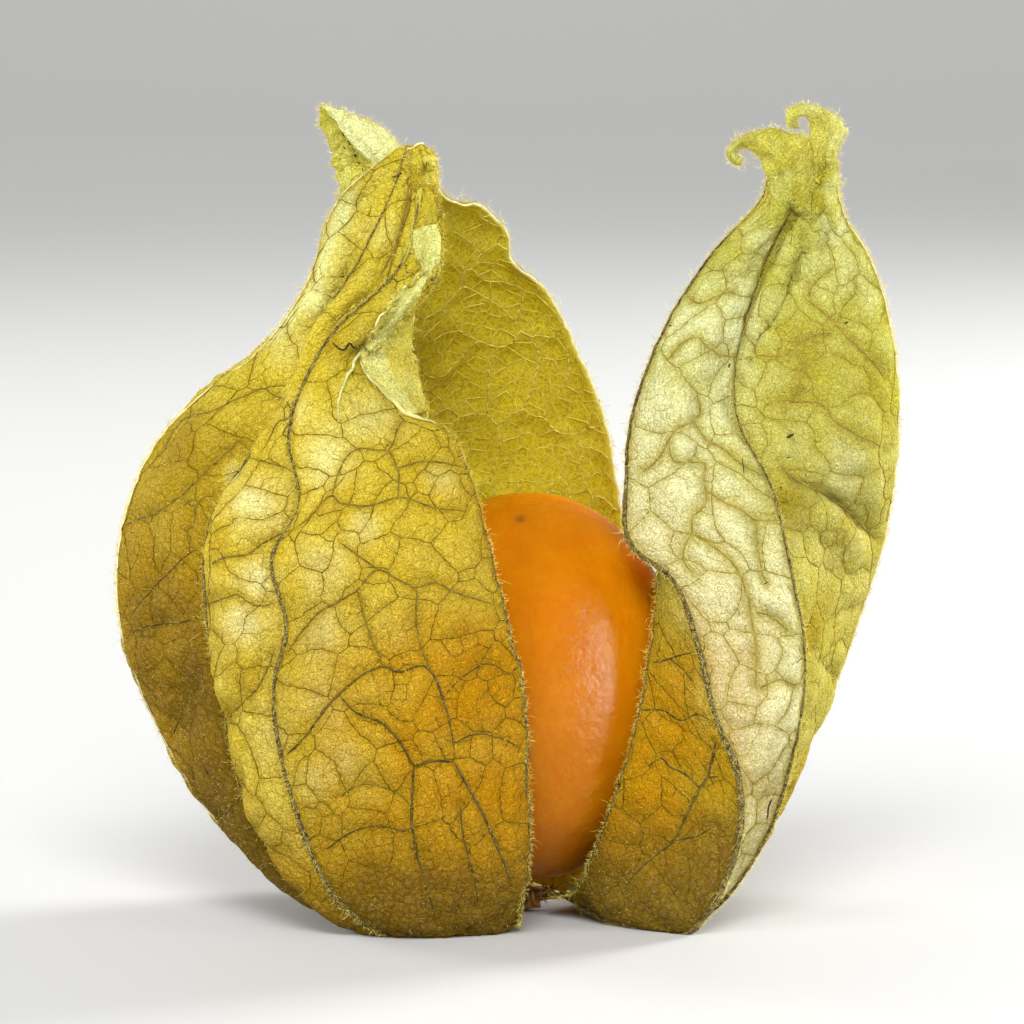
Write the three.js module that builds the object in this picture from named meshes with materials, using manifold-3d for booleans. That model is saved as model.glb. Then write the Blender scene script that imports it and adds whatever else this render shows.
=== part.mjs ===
// A physalis (cape gooseberry): a ripe berry standing in its papery husk, which is torn open down
// the front and down the back into two halves. Millimetres, +Z up, on the ground at z = 0.
import * as THREE from 'three';
import { mergeVertices } from 'three/addons/utils/BufferGeometryUtils.js';
import Module from 'manifold-3d';

const BERRY_WIDTH = 15.5;
const BERRY_HEIGHT = 19.6;
const BERRY_CENTRE = [1.0, 0, 11.45];
const HUSK_THICKNESS = 0.45;
const TIP_THICKNESS = 0.6;
const STEM_RADIUS = 0.85;
const STEM_TOP = 1.2;

// Steps across one panel of husk, and from the stem to the neck.
const PANEL_STEPS = 4;
const HEIGHT_STEPS = 34;

// The ribs of each half, in clockwise order seen from above. Each runs from the ring round the stem,
// out under the base and up to the neck. puff says how far the panel after it stands out, at five
// places from the stem to the neck.
const LEFT_RIBS = [
  { puff: [0, 1.4, 1.8, 0.6, 0],
    points: [[0.6, -2.3, 1.1], [0.5, -5.2, 0.0], [0.6, -7.2, 0.4], [1.0, -8.0, 3.6],
    [1.0, -8.6, 7.4], [0.8, -8.8, 11.9], [-0.4, -8.2, 17.2], [-1.8, -6.8, 22.4], [-3.0, -5.7, 24.8],
    [-5.1, -5.0, 25.7], [-7.4, -4.0, 28.5], [-5.4, -3.5, 30.4], [-3.5, -2.9, 32.0],
    [-3.4, -2.0, 35.9]] },
  { puff: [0, 0.5, 0.8, 0.5, 0],
    points: [[-0.9, -2.2, 1.1], [-3.6, -5.0, -0.3], [-5.8, -7.3, -0.2], [-8.4, -8.1, 2.1],
    [-10.7, -8.0, 7.6], [-11.4, -7.7, 12.3], [-10.8, -7.5, 15.4], [-11.5, -6.9, 18.6],
    [-10.2, -6.3, 21.2], [-10.7, -5.4, 24.8], [-8.8, -4.4, 29.2], [-4.9, -3.6, 32.3],
    [-3.9, -2.3, 37.1]] },
  { puff: [0, 0.2, 0.4, 0.3, 0],
    points: [[-1.5, -1.5, 1.1], [-5.0, -3.8, -0.3], [-8.5, -6.0, 1.0], [-12.6, -5.5, 5.9],
    [-14.0, -5.1, 11.4], [-14.9, -4.7, 16.4], [-14.6, -4.3, 20.2], [-12.9, -4.2, 23.1],
    [-10.9, -4.0, 25.8], [-9.1, -3.4, 29.8], [-6.4, -2.8, 33.5], [-5.0, -1.9, 37.5]] },
  { puff: [0, 0.8, 0.8, 0.1, 0],
    points: [[-1.7, 0.0, 1.1], [-5.4, -0.8, -0.3], [-9.4, -1.6, 0.5], [-14.2, -1.0, 4.4],
    [-17.4, -0.4, 9.2], [-19.5, 0.2, 15.1], [-19.2, 0.4, 19.8], [-17.5, 0.2, 23.7],
    [-15.0, -0.2, 26.3], [-12.2, -0.7, 28.0], [-9.7, -1.0, 30.2], [-8.4, -1.2, 32.8],
    [-7.4, -1.2, 35.2], [-6.2, -0.8, 37.8]] },
  { puff: [0, 1.2, 1.2, 0.8, 0],
    points: [[-1.0, 1.5, 1.1], [-4.4, 3.4, -0.3], [-9.6, 6.8, 3.0], [-14.0, 8.0, 8.0],
    [-16.2, 8.2, 13.6], [-16.6, 7.2, 19.0], [-15.6, 5.4, 23.2], [-13.6, 3.8, 26.4],
    [-11.0, 2.5, 29.2], [-9.2, 1.6, 31.9], [-7.9, 0.9, 34.6], [-6.2, 0.5, 37.8]] },
  { puff: [0, 0.8, 1, 0.8, 0],
    points: [[0.2, 2.0, 1.1], [-0.6, 5.0, -0.3], [-3.0, 9.8, 3.2], [-5.0, 12.2, 8.6],
    [-5.6, 12.8, 14.4], [-5.2, 11.8, 19.6], [-4.6, 10.0, 23.4], [-4.6, 8.2, 26.2],
    [-4.9, 6.2, 28.8], [-5.0, 4.4, 31.4], [-4.8, 2.6, 34.4], [-4.5, 1.1, 37.4]] },
  { puff: [],
    points: [[1.1, 1.7, 1.1], [3.2, 4.6, -0.3], [5.2, 8.4, 3.0], [6.2, 10.6, 8.0],
    [6.6, 11.2, 13.0], [6.3, 10.4, 16.0], [5.8, 9.4, 19.6], [4.7, 7.8, 25.2], [2.2, 6.0, 30.2],
    [0.5, 4.8, 32.4], [-0.4, 3.8, 34.0], [-1.6, 2.4, 35.2], [-3.2, 0.8, 36.0]] },
];
const RIGHT_RIBS = [
  { puff: [0, 0.4, 0.7, 0.8, 0],
    points: [[2.9, 1.4, 1.1], [6.0, 3.4, -0.2], [8.0, 4.9, 1.2], [10.0, 7.4, 4.6],
    [12.2, 8.6, 10.0], [13.4, 8.4, 16.0], [14.2, 7.0, 22.0], [14.7, 5.0, 27.4], [15.0, 2.8, 32.0],
    [15.3, 0.8, 36.4]] },
  { puff: [0, -0.2, 0.2, 1.5, 0.3],
    points: [[3.5, 0.4, 1.1], [7.4, 0.5, -0.2], [9.8, 0.6, 0.8], [12.7, 0.7, 4.0],
    [15.9, 0.8, 10.4], [17.9, 0.6, 15.7], [19.0, 0.2, 19.8], [19.4, -0.4, 24.4],
    [19.1, -1.0, 28.9], [18.0, -1.4, 32.8], [16.7, -1.4, 35.0], [16.3, -1.1, 36.6]] },
  { puff: [0, -0.3, 0.4, 0.9, 0.3],
    points: [[3.3, -0.8, 1.1], [7.4, -3.2, -0.2], [9.8, -4.6, 0.6], [12.7, -5.9, 4.7],
    [14.1, -6.8, 9.7], [14.5, -7.2, 13.7], [13.8, -7.4, 18.1], [12.8, -6.6, 22.3],
    [11.2, -5.0, 25.6], [11.4, -3.4, 28.8], [12.7, -2.2, 32.6], [14.4, -1.4, 36.3]] },
  { puff: [0, 0.2, 0.3, 0, 0],
    points: [[2.7, -1.6, 1.1], [5.6, -4.4, -0.1], [8.8, -6.6, 0.0], [11.1, -7.7, 4.1],
    [11.3, -8.2, 7.8], [10.1, -8.4, 11.1], [9.2, -8.2, 14.7], [8.0, -7.6, 18.4], [6.0, -6.8, 20.6],
    [6.1, -5.4, 25.5], [7.6, -4.2, 29.4], [10.0, -2.8, 33.2], [13.0, -1.4, 36.4]] },
  { puff: [],
    points: [[2.0, -2.0, 1.1], [3.4, -4.0, 1.9], [4.7, -5.8, 5.1], [5.9, -6.9, 8.9],
    [6.8, -6.9, 13.0], [7.2, -5.8, 17.0], [7.6, -3.8, 20.6], [8.2, -2.0, 24.8], [9.4, -1.2, 29.0],
    [11.4, -0.6, 33.0], [13.4, -0.2, 36.4]] },
];

// The dry ends above each neck: centre line and width at each of its points.
const LEFT_FLAP = { points: [[-5.9, -1.6, 35.2], [-7.1, -1.5, 37.2], [-8.4, -0.9, 39.2],
  [-9.4, -0.3, 40.7]], widths: [2.4, 4.2, 2.4, 0.5] };
const RIGHT_CURLS = [
  { points: [[13.9, -2.0, 35.2], [13.4, -2.1, 37.4], [12.4, -2.2, 38.6], [11.3, -2.3, 38.4],
    [11.0, -2.4, 37.6]], widths: [2.0, 1.8, 1.0, 0.6, 0.4] },
  { points: [[16.4, -1.5, 35.0], [15.6, -1.5, 37.2], [15.7, -1.6, 39.4], [15.1, -1.6, 40.5],
    [14.2, -1.7, 40.2]], widths: [1.5, 1.3, 1.2, 0.7, 0.4] },
];

const wasm = await Module();
wasm.setup();

const spline = (points) => new THREE.CatmullRomCurve3(
  points.map((p) => new THREE.Vector3(...p)), false, 'centripetal');

// The value at v (0 to 1) of a list of values that are evenly spaced, eased from one to the next.
function between(values, v) {
  const i = Math.min(Math.floor(v * (values.length - 1)), values.length - 2);
  const s = v * (values.length - 1) - i;
  return THREE.MathUtils.lerp(values[i], values[i + 1], THREE.MathUtils.smoothstep(s, 0, 1));
}

// A point on the outside of a half: across picks the panel, up runs from the stem to the neck.
function huskPoint(curves, ribs, across, up) {
  const panel = Math.min(Math.floor(across * (ribs.length - 1)), ribs.length - 2);
  const s = across * (ribs.length - 1) - panel;
  const a = curves[panel].getPointAt(up);
  const b = curves[panel + 1].getPointAt(up);
  const out = curves[panel].getTangentAt(up).cross(b.clone().sub(a)).normalize();
  const puff = between(ribs[panel].puff, up) * Math.sin(Math.PI * s);
  const p = a.lerp(b, s).addScaledVector(out, puff);
  p.z = Math.max(p.z, 0);
  return p;
}

// A thin sheet made from a box of unit size: its x and y run over the sheet, its z through it.
function sheetSolid(acrossSteps, upSteps, thickness, surface) {
  const box = new THREE.BoxGeometry(1, 1, 1, acrossSteps, upSteps, 1);
  const at = box.attributes.position;
  const step = 1e-3;
  for (let i = 0; i < at.count; i++) {
    const u = at.getX(i) + 0.5;
    const v = at.getY(i) + 0.5;
    const du = surface(Math.min(u + step, 1), v).sub(surface(Math.max(u - step, 0), v));
    const dv = surface(u, Math.min(v + step, 1)).sub(surface(u, Math.max(v - step, 0)));
    const out = dv.cross(du).normalize();
    const p = surface(u, v).addScaledVector(out, (at.getZ(i) - 0.5) * thickness);
    at.setXYZ(i, p.x, p.y, p.z);
  }
  return solid(box);
}

function solid(geometry) {
  geometry.deleteAttribute('normal');
  geometry.deleteAttribute('uv');
  const welded = mergeVertices(geometry, 1e-3);
  const volume = signedVolume(welded);
  const index = Uint32Array.from(welded.index.array);
  if (volume < 0) index.forEach((_, i) => {
    if (i % 3 === 0) [index[i], index[i + 1]] = [index[i + 1], index[i]];
  });
  return new wasm.Manifold(new wasm.Mesh({
    numProp: 3, vertProperties: Float32Array.from(welded.attributes.position.array),
    triVerts: index }));
}

function signedVolume(geometry) {
  const at = geometry.attributes.position;
  const corner = (i) => new THREE.Vector3().fromBufferAttribute(at, geometry.index.getX(i));
  let total = 0;
  for (let i = 0; i < geometry.index.count; i += 3) {
    total += corner(i).cross(corner(i + 1)).dot(corner(i + 2)) / 6;
  }
  return total;
}

function geometryOf(manifold) {
  const mesh = manifold.getMesh();
  const geometry = new THREE.BufferGeometry();
  const at = new Float32Array(mesh.numVert * 3);
  for (let i = 0; i < mesh.numVert; i++) {
    for (let k = 0; k < 3; k++) at[i * 3 + k] = mesh.vertProperties[i * mesh.numProp + k];
  }
  geometry.setAttribute('position', new THREE.BufferAttribute(at, 3));
  geometry.setIndex(new THREE.BufferAttribute(Uint32Array.from(mesh.triVerts), 1));
  geometry.computeVertexNormals();
  return geometry;
}

function husk(ribs) {
  const curves = ribs.map((rib) => spline(rib.points));
  return sheetSolid(PANEL_STEPS * (ribs.length - 1), HEIGHT_STEPS, HUSK_THICKNESS,
    (u, v) => huskPoint(curves, ribs, u, v));
}

// A flat dry end that faces the front and bends along its centre line.
function dryEnd({ points, widths }) {
  const centre = spline(points);
  const facing = new THREE.Vector3(0, -1, 0);
  return sheetSolid(2, 4 * (points.length - 1), TIP_THICKNESS, (u, v) => {
    const side = centre.getTangentAt(v).cross(facing).normalize();
    return centre.getPointAt(v).addScaledVector(side, (u - 0.5) * between(widths, v));
  });
}

function berryGeometry() {
  const profile = [];
  const steps = 22;
  for (let i = 0; i <= steps; i++) {
    const angle = Math.PI * i / steps;
    profile.push(new THREE.Vector2(
      i % steps === 0 ? 0 : BERRY_WIDTH / 2 * Math.sin(angle), -BERRY_HEIGHT / 2 * Math.cos(angle)));
  }
  return new THREE.LatheGeometry(profile, 32).rotateX(Math.PI / 2);
}

function piece(name, geometry, colour, roughness) {
  const mesh = new THREE.Mesh(geometry, new THREE.MeshStandardMaterial({
    color: colour, roughness, metalness: 0, side: THREE.FrontSide }));
  mesh.name = name;
  return mesh;
}

const physalis = new THREE.Group();

const berry = piece('berry', berryGeometry(), 0xe08a14, 0.32);
berry.position.set(...BERRY_CENTRE);
physalis.add(berry);

const stem = new THREE.LatheGeometry([[0, 0.1], [STEM_RADIUS * 0.8, 0.1], [STEM_RADIUS, STEM_TOP],
  [0, STEM_TOP]].map(([r, z]) => new THREE.Vector2(r, z)), 20).rotateX(Math.PI / 2);
const stemStub = piece('stem_stub', stem, 0x7a4a1e, 0.8);
stemStub.position.set(BERRY_CENTRE[0], BERRY_CENTRE[1], 0);
physalis.add(stemStub);

const left = husk(LEFT_RIBS).add(dryEnd(LEFT_FLAP));
physalis.add(piece('husk_left', geometryOf(left), 0xd9c04a, 0.75));

const right = RIGHT_CURLS.reduce((half, curl) => half.add(dryEnd(curl)), husk(RIGHT_RIBS));
physalis.add(piece('husk_right', geometryOf(right), 0xdccb62, 0.75));

// The origin is on the ground under the middle of the whole.
const middle = new THREE.Box3().setFromObject(physalis).getCenter(new THREE.Vector3());
physalis.position.set(-middle.x, -middle.y, 0);

export default physalis;
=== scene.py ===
import math
import random

import bmesh
import bpy
import numpy as np
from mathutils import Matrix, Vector, geometry, noise
from mathutils.bvhtree import BVHTree
from mathutils.kdtree import KDTree

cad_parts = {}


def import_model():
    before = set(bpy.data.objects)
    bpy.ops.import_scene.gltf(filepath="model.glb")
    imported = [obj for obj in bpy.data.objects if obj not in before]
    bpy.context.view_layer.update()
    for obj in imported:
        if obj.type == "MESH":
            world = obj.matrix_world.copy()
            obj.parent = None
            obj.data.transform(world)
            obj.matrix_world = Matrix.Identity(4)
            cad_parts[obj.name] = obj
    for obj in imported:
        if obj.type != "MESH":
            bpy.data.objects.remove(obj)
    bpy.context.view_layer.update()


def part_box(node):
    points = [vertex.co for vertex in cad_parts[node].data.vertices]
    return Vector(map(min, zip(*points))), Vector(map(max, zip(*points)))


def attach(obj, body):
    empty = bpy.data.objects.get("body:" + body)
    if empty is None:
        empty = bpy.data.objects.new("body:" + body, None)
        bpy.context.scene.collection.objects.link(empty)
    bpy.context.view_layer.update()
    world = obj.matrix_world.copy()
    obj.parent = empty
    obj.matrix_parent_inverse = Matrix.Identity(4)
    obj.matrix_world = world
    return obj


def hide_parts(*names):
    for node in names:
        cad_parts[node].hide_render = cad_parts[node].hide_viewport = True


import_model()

# A physalis berry standing in its dry husk, which is torn open down the front and down the back.
# The plan below is in millimetres, with the berry's middle at BERRY_MIDDLE. The frame's own berry
# says where that is, so everything is placed from it.
MM = 0.001
BERRY_MIDDLE = np.array([1.0, 0.0, 11.45])
berry_low, berry_high = (np.array(corner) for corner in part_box("berry"))
BERRY_SIZE = (berry_high - berry_low) / MM
SHIFT = (berry_low + berry_high) / 2 - BERRY_MIDDLE * MM

# The view that the camera takes, which the main veins are also laid out in.
VIEW_MIDDLE = np.array([0.2, 0.0, 20.2])
VIEW_HEIGHT = math.radians(6)
VIEW_DISTANCE = 280.0
FRAME_WIDTH = 51.2
SENSOR_WIDTH = 36

view_along = np.array([0.0, math.cos(VIEW_HEIGHT), -math.sin(VIEW_HEIGHT)])
view_up = np.array([0.0, math.sin(VIEW_HEIGHT), math.cos(VIEW_HEIGHT)])
EYE = VIEW_MIDDLE - view_along * VIEW_DISTANCE

# Sizes in mm: the paper's wall in the halves and in the dry ends, the cells of the vein net and the
# wider groups that its main veins part, the lowest that a sheet and a strand may lie, and the height
# at which the halves narrow to a neck.
HUSK_THICKNESS = 0.14
END_THICKNESS = 0.1
VEIN_CELL = 0.95
VEIN_GROUP = 2.3
SHEET_FLOOR = 0.02
STRAND_FLOOR = 0.01
NECK = 31.0

# Rows in the net of each panel of a half, and of each panel of a dry end.
ROWS = 200
END_ROWS = 72


def ease(values, v):
    """The value at v (0 to 1) of evenly spaced values, eased from one to the next."""
    v = np.clip(np.asarray(v, float), 0, 1) * (len(values) - 1)
    i = np.minimum(v.astype(int), len(values) - 2)
    s = v - i
    s = s * s * (3 - 2 * s)
    values = np.asarray(values, float)
    return values[i] * (1 - s) + values[i + 1] * s


def unit(vectors):
    """The same directions, each of length 1."""
    return vectors / np.maximum(np.linalg.norm(vectors, axis=-1, keepdims=True), 1e-9)


def bell(gap, reach):
    """1 where the gap is none, falling off smoothly over about the reach."""
    return np.exp(-(gap / reach) ** 2)


def reach_along(line):
    """How far along a line each of its places is."""
    return np.concatenate([[0], np.cumsum(np.linalg.norm(np.diff(line, axis=0), axis=1))])


def even_line(points, count):
    """Evenly spaced places along a smooth curve through the guide points."""
    points = np.asarray(points, float)
    ends = np.vstack([2 * points[0] - points[1], points, 2 * points[-1] - points[-2]])
    steps_between = 24
    t = np.linspace(0, 1, steps_between, endpoint=False)[:, None]
    line = []
    for i in range(len(points) - 1):
        p0, p1, p2, p3 = ends[i:i + 4]
        d0, d1, d2 = (max(np.linalg.norm(b - a), 1e-6) ** 0.5
                      for a, b in ((p0, p1), (p1, p2), (p2, p3)))
        m1 = ((p1 - p0) / d0 - (p2 - p0) / (d0 + d1) + (p2 - p1) / d1) * d1
        m2 = ((p2 - p1) / d1 - (p3 - p1) / (d1 + d2) + (p3 - p2) / d2) * d1
        line.append((2 * t**3 - 3 * t**2 + 1) * p1 + (t**3 - 2 * t**2 + t) * m1
                    + (3 * t**2 - 2 * t**3) * p2 + (t**3 - t**2) * m2)
    line = np.vstack(line + [points[-1:]])
    reach = reach_along(line)
    steps = np.linspace(0, reach[-1], count)
    return np.stack([np.interp(steps, reach, line[:, k]) for k in range(line.shape[1])], axis=1)


def ripple(points, size, seed):
    """Smooth noise from about -1 to 1 at each point, with waves of the given size."""
    offset = Vector((seed * 17.3, seed * 5.1, seed * 9.7))
    flat = points.reshape(-1, 3)
    values = [noise.noise(Vector(p) / size + offset) for p in flat]
    return np.array(values).reshape(points.shape[:-1]) * 1.6


class Panel:
    """A panel of husk between two ribs, as an even net of places with the way out at each.

    The ribs are lines with the same count of places. The puff says how far the panel's middle stands
    out, from its foot to its top, and the swells add to it in one spot each.
    """

    def __init__(self, a, b, puff, columns, swells=()):
        self.columns, self.rows = columns, len(a) - 1
        s = np.linspace(0, 1, self.columns + 1)
        v = np.linspace(0, 1, self.rows + 1)
        out = unit(np.cross(np.gradient(a, axis=0), b - a))
        lift = ease(puff, v)[:, None] * np.sin(np.pi * s)[None, :]
        for across, up, wide, high, height in swells:
            near = np.exp(-((s[None, :] - across) / wide) ** 2 - ((v[:, None] - up) / high) ** 2)
            lift = lift + height * near * np.sin(np.pi * s)[None, :] ** 0.5
        self.net = (a[:, None] * (1 - s)[None, :, None] + b[:, None] * s[None, :, None]
                    + out[:, None] * lift[..., None])
        self.edge_fade = (np.sin(np.pi * s)[None, :] ** 0.5
                          * np.clip(np.minimum(v, 1 - v)[:, None] * 14, 0, 1))
        self.refresh()

    def refresh(self):
        """Works out the way out, the widths and the lengths again, after the net has changed."""
        along = np.gradient(self.net, axis=0)
        across = np.gradient(self.net, axis=1)
        out = np.cross(along, across)
        for row in range(1, len(out)):
            flat = np.linalg.norm(out[row], axis=1) < 1e-7
            out[row, flat] = out[row - 1, flat]
        self.out = unit(out)
        steps = np.linalg.norm(np.diff(self.net, axis=1), axis=2)
        self.width = steps.sum(axis=1)
        self.length = reach_along(self.net[:, self.columns // 2])

    def push(self, heights):
        """Moves each place out (or in, below 0) by its height in mm."""
        self.net = self.net + self.out * heights[..., None]
        self.refresh()

    def at(self, s, v):
        """The place and the way out at s across and v up, each 0 to 1."""
        x = np.clip(s, 0, 1) * self.columns
        y = np.clip(v, 0, 1) * self.rows
        i = np.minimum(x.astype(int), self.columns - 1)
        j = np.minimum(y.astype(int), self.rows - 1)
        fx, fy = (x - i)[..., None], (y - j)[..., None]

        def mixed(net):
            return ((net[j, i] * (1 - fx) + net[j, i + 1] * fx) * (1 - fy)
                    + (net[j + 1, i] * (1 - fx) + net[j + 1, i + 1] * fx) * fy)
        return mixed(self.net), unit(mixed(self.out))

    def unrolled(self, x, y):
        """s and v for a place x mm from the panel's middle line and y mm up it."""
        v = np.interp(y, self.length, np.linspace(0, 1, self.rows + 1))
        wide = np.interp(v, np.linspace(0, 1, self.rows + 1), self.width)
        return x / np.maximum(wide, 0.05) + 0.5, v


# ---------------------------------------------------------------- meshes

def world(points):
    """Plan millimetres as the frame's metres."""
    return np.asarray(points) * MM + SHIFT


def piece_from(mesh, name, materials, replaced=()):
    """Puts a mesh into the scene as a piece of the body, in place of the named CAD nodes if any."""
    for material in materials:
        mesh.materials.append(material)
    piece = bpy.data.objects.new(name, mesh)
    bpy.context.scene.collection.objects.link(piece)
    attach(piece, "root")
    if replaced:
        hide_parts(*replaced)
    return piece


def add_mark(mesh, name, values):
    """Notes a value at each vertex, for a material to read."""
    layer = mesh.attributes.new(name, "FLOAT", "POINT")
    layer.data.foreach_set("value", values.ravel().astype(np.float32))


def side_by_side(nets):
    """The nets of neighbouring panels as one, with the columns they share taken once."""
    return np.concatenate([net[:, :-1] for net in nets] + [nets[-1][:, -1:]], axis=1)


def sheet_mesh(name, panels, marks):
    """One continuous surface over panels that stand side by side, with a map in millimetres."""
    columns = sum(panel.columns for panel in panels)
    rows = panels[0].rows
    bm = bmesh.new()
    bmesh.ops.create_grid(bm, x_segments=columns, y_segments=rows, size=0.5)
    mesh = bpy.data.meshes.new(name)
    bm.to_mesh(mesh)
    bm.free()
    net = side_by_side([panel.net for panel in panels])
    net[..., 2] = np.maximum(net[..., 2], SHEET_FLOOR)
    mesh.vertices.foreach_set("co", world(net).ravel())
    for label, values in marks.items():
        add_mark(mesh, label, side_by_side(values))
    corner = np.empty(len(mesh.loops), dtype=np.int32)
    mesh.loops.foreach_get("vertex_index", corner)
    row, column = np.divmod(corner.reshape(-1, 4), columns + 1)
    starts = np.cumsum([0] + [panel.columns for panel in panels])
    which = np.searchsorted(starts, column.min(axis=1), side="right") - 1
    flat = np.empty(column.shape + (2,))
    for k, panel in enumerate(panels):
        mine = which == k
        s = (column[mine] - starts[k]) / panel.columns
        flat[mine, :, 0] = (s - 0.5) * panel.width[row[mine]] + 40 * k
        flat[mine, :, 1] = panel.length[row[mine]]
    layer = mesh.uv_layers.new(name="husk_map")
    layer.data.foreach_set("uv", flat.ravel())
    out = np.concatenate([panel.out.reshape(-1, 3) for panel in panels]).sum(axis=0)
    normals = sum((np.array(p.normal) for p in mesh.polygons), np.zeros(3))
    if np.dot(out, normals) < 0:
        mesh.flip_normals()
    mesh.shade_smooth()
    mesh.update()
    return mesh


def add_strands(mesh_parts, lines, radii, ups, sides=3, flat=1.0):
    """Closed tubes that taper to a point at both ends, one along each line of places."""
    lines, radii, ups = np.asarray(lines, float), np.asarray(radii, float), np.asarray(ups, float)
    count, rows = lines.shape[:2]
    bm = bmesh.new()
    bmesh.ops.create_grid(bm, x_segments=sides, y_segments=count * rows - 1, size=0.5)
    between = [face for face in bm.faces if face.index // sides % rows == rows - 1]
    bmesh.ops.delete(bm, geom=between, context="FACES_ONLY")
    mesh = bpy.data.meshes.new("strands")
    bm.to_mesh(mesh)
    bm.free()
    along = unit(np.gradient(lines, axis=1))
    ups = unit(ups - along * (ups * along).sum(axis=-1, keepdims=True))
    side = np.cross(along, ups)
    turn = 2 * np.pi * (np.arange(sides + 1) % sides) / sides + np.pi / 2
    ring = (side[:, :, None] * np.cos(turn)[None, None, :, None]
            + ups[:, :, None] * flat * np.sin(turn)[None, None, :, None])
    places = lines[:, :, None] + ring * radii[:, :, None, None]
    places[..., 2] = np.maximum(places[..., 2], STRAND_FLOOR)
    mesh.vertices.foreach_set("co", world(places).ravel())
    mesh_parts.append(mesh)


def joined_mesh(name, mesh_parts):
    """The strands as one mesh, with their seams and tips closed."""
    bm = bmesh.new()
    for mesh in mesh_parts:
        bm.from_mesh(mesh)
        bpy.data.meshes.remove(mesh)
    bmesh.ops.remove_doubles(bm, verts=bm.verts, dist=1e-8)
    bmesh.ops.dissolve_degenerate(bm, edges=bm.edges, dist=1e-9)
    loose = [vert for vert in bm.verts if not vert.link_faces]
    bmesh.ops.delete(bm, geom=loose, context="VERTS")
    bmesh.ops.recalc_face_normals(bm, faces=bm.faces)
    mesh = bpy.data.meshes.new(name)
    bm.to_mesh(mesh)
    bm.free()
    mesh.shade_smooth()
    return mesh


def build_strands(name, mesh_parts, material, replaced=()):
    """One piece from a list of strands."""
    piece_from(joined_mesh(name, mesh_parts), name, [material], replaced)


def tapered(count, thick, ends=(0.15, 0.15), shape=None):
    """Radii along one strand: a point at each end and an even or given run between."""
    t = np.linspace(0, 1, count)
    run = np.full(count, 1.0) if shape is None else ease(shape, t)
    fade = np.clip(np.minimum(t / max(ends[0], 1e-6), (1 - t) / max(ends[1], 1e-6)), 0, 1)
    radii = thick * run * np.sqrt(fade)
    radii[0] = radii[-1] = 0
    return radii


# ---------------------------------------------------------------- veins

def circumcentre(a, b, c):
    """The middle of the circle through three flat places, or None if they lie in a line."""
    d = 2 * (a.x * (b.y - c.y) + b.x * (c.y - a.y) + c.x * (a.y - b.y))
    if abs(d) < 1e-9:
        return None
    aa, bb, cc = a.length_squared, b.length_squared, c.length_squared
    return Vector(((aa * (b.y - c.y) + bb * (c.y - a.y) + cc * (a.y - b.y)) / d,
                   (aa * (c.x - b.x) + bb * (a.x - c.x) + cc * (b.x - a.x)) / d))


def cell_seeds(panel, cell, rng):
    """Uneven places over a panel laid flat, about cell mm apart."""
    seeds = []
    rise = cell * 0.87
    for r in range(-1, int(panel.length[-1] / rise) + 3):
        y = r * rise
        wide = np.interp(y, panel.length, panel.width)
        reach = int((wide / 2 + 2 * cell) / cell) + 1
        for c in range(-reach, reach + 1):
            x = (c + 0.5 * (r % 2) + rng.uniform(-0.4, 0.4)) * cell
            if abs(x) < wide / 2 + 1.6 * cell:
                seeds.append(Vector((x, y + rng.uniform(-0.4, 0.4) * rise)))
    return seeds


def group_middles(panel, group, rng):
    """The middles of wider groups of cells, about group mm apart, ready for finding the nearest."""
    reach = 12
    wanted = max(1, int(2 * reach * panel.length[-1] / group ** 2))
    groups = KDTree(wanted)
    for k in range(wanted):
        groups.insert((rng.uniform(-reach, reach), rng.uniform(0, panel.length[-1]), 0), k)
    groups.balance()
    return groups


def cell_edges(seeds, groups):
    """The corners of the cells round the seeds, and each edge as two corners and whether it is main."""
    places, _, faces, _, _, _ = geometry.delaunay_2d_cdt(seeds, [], [], 0, 1e-6)
    member = [groups.find((p.x, p.y, 0))[1] for p in places]
    corners = [circumcentre(*(places[i] for i in face)) for face in faces]
    touching = {}
    for number, face in enumerate(faces):
        for i in range(3):
            touching.setdefault(tuple(sorted((face[i], face[(i + 1) % 3]))), []).append(number)
    edges = [(*pair, member[i] != member[j]) for (i, j), pair in touching.items()
             if len(pair) == 2 and corners[pair[0]] and corners[pair[1]]]
    return corners, edges


def smooth_main_edges(corners, edges):
    """Moves the corners of the main edges a little, so that they run on in smooth lines."""
    beside = {}
    for a, b, is_main in edges:
        if is_main:
            beside.setdefault(a, []).append(b)
            beside.setdefault(b, []).append(a)
    for _ in range(4):
        moved = {a: (corners[a] + sum((corners[b] for b in near), Vector((0, 0))) / len(near)) / 2
                 for a, near in beside.items() if len(near) > 1}
        for a, place in moved.items():
            corners[a] = place


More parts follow.
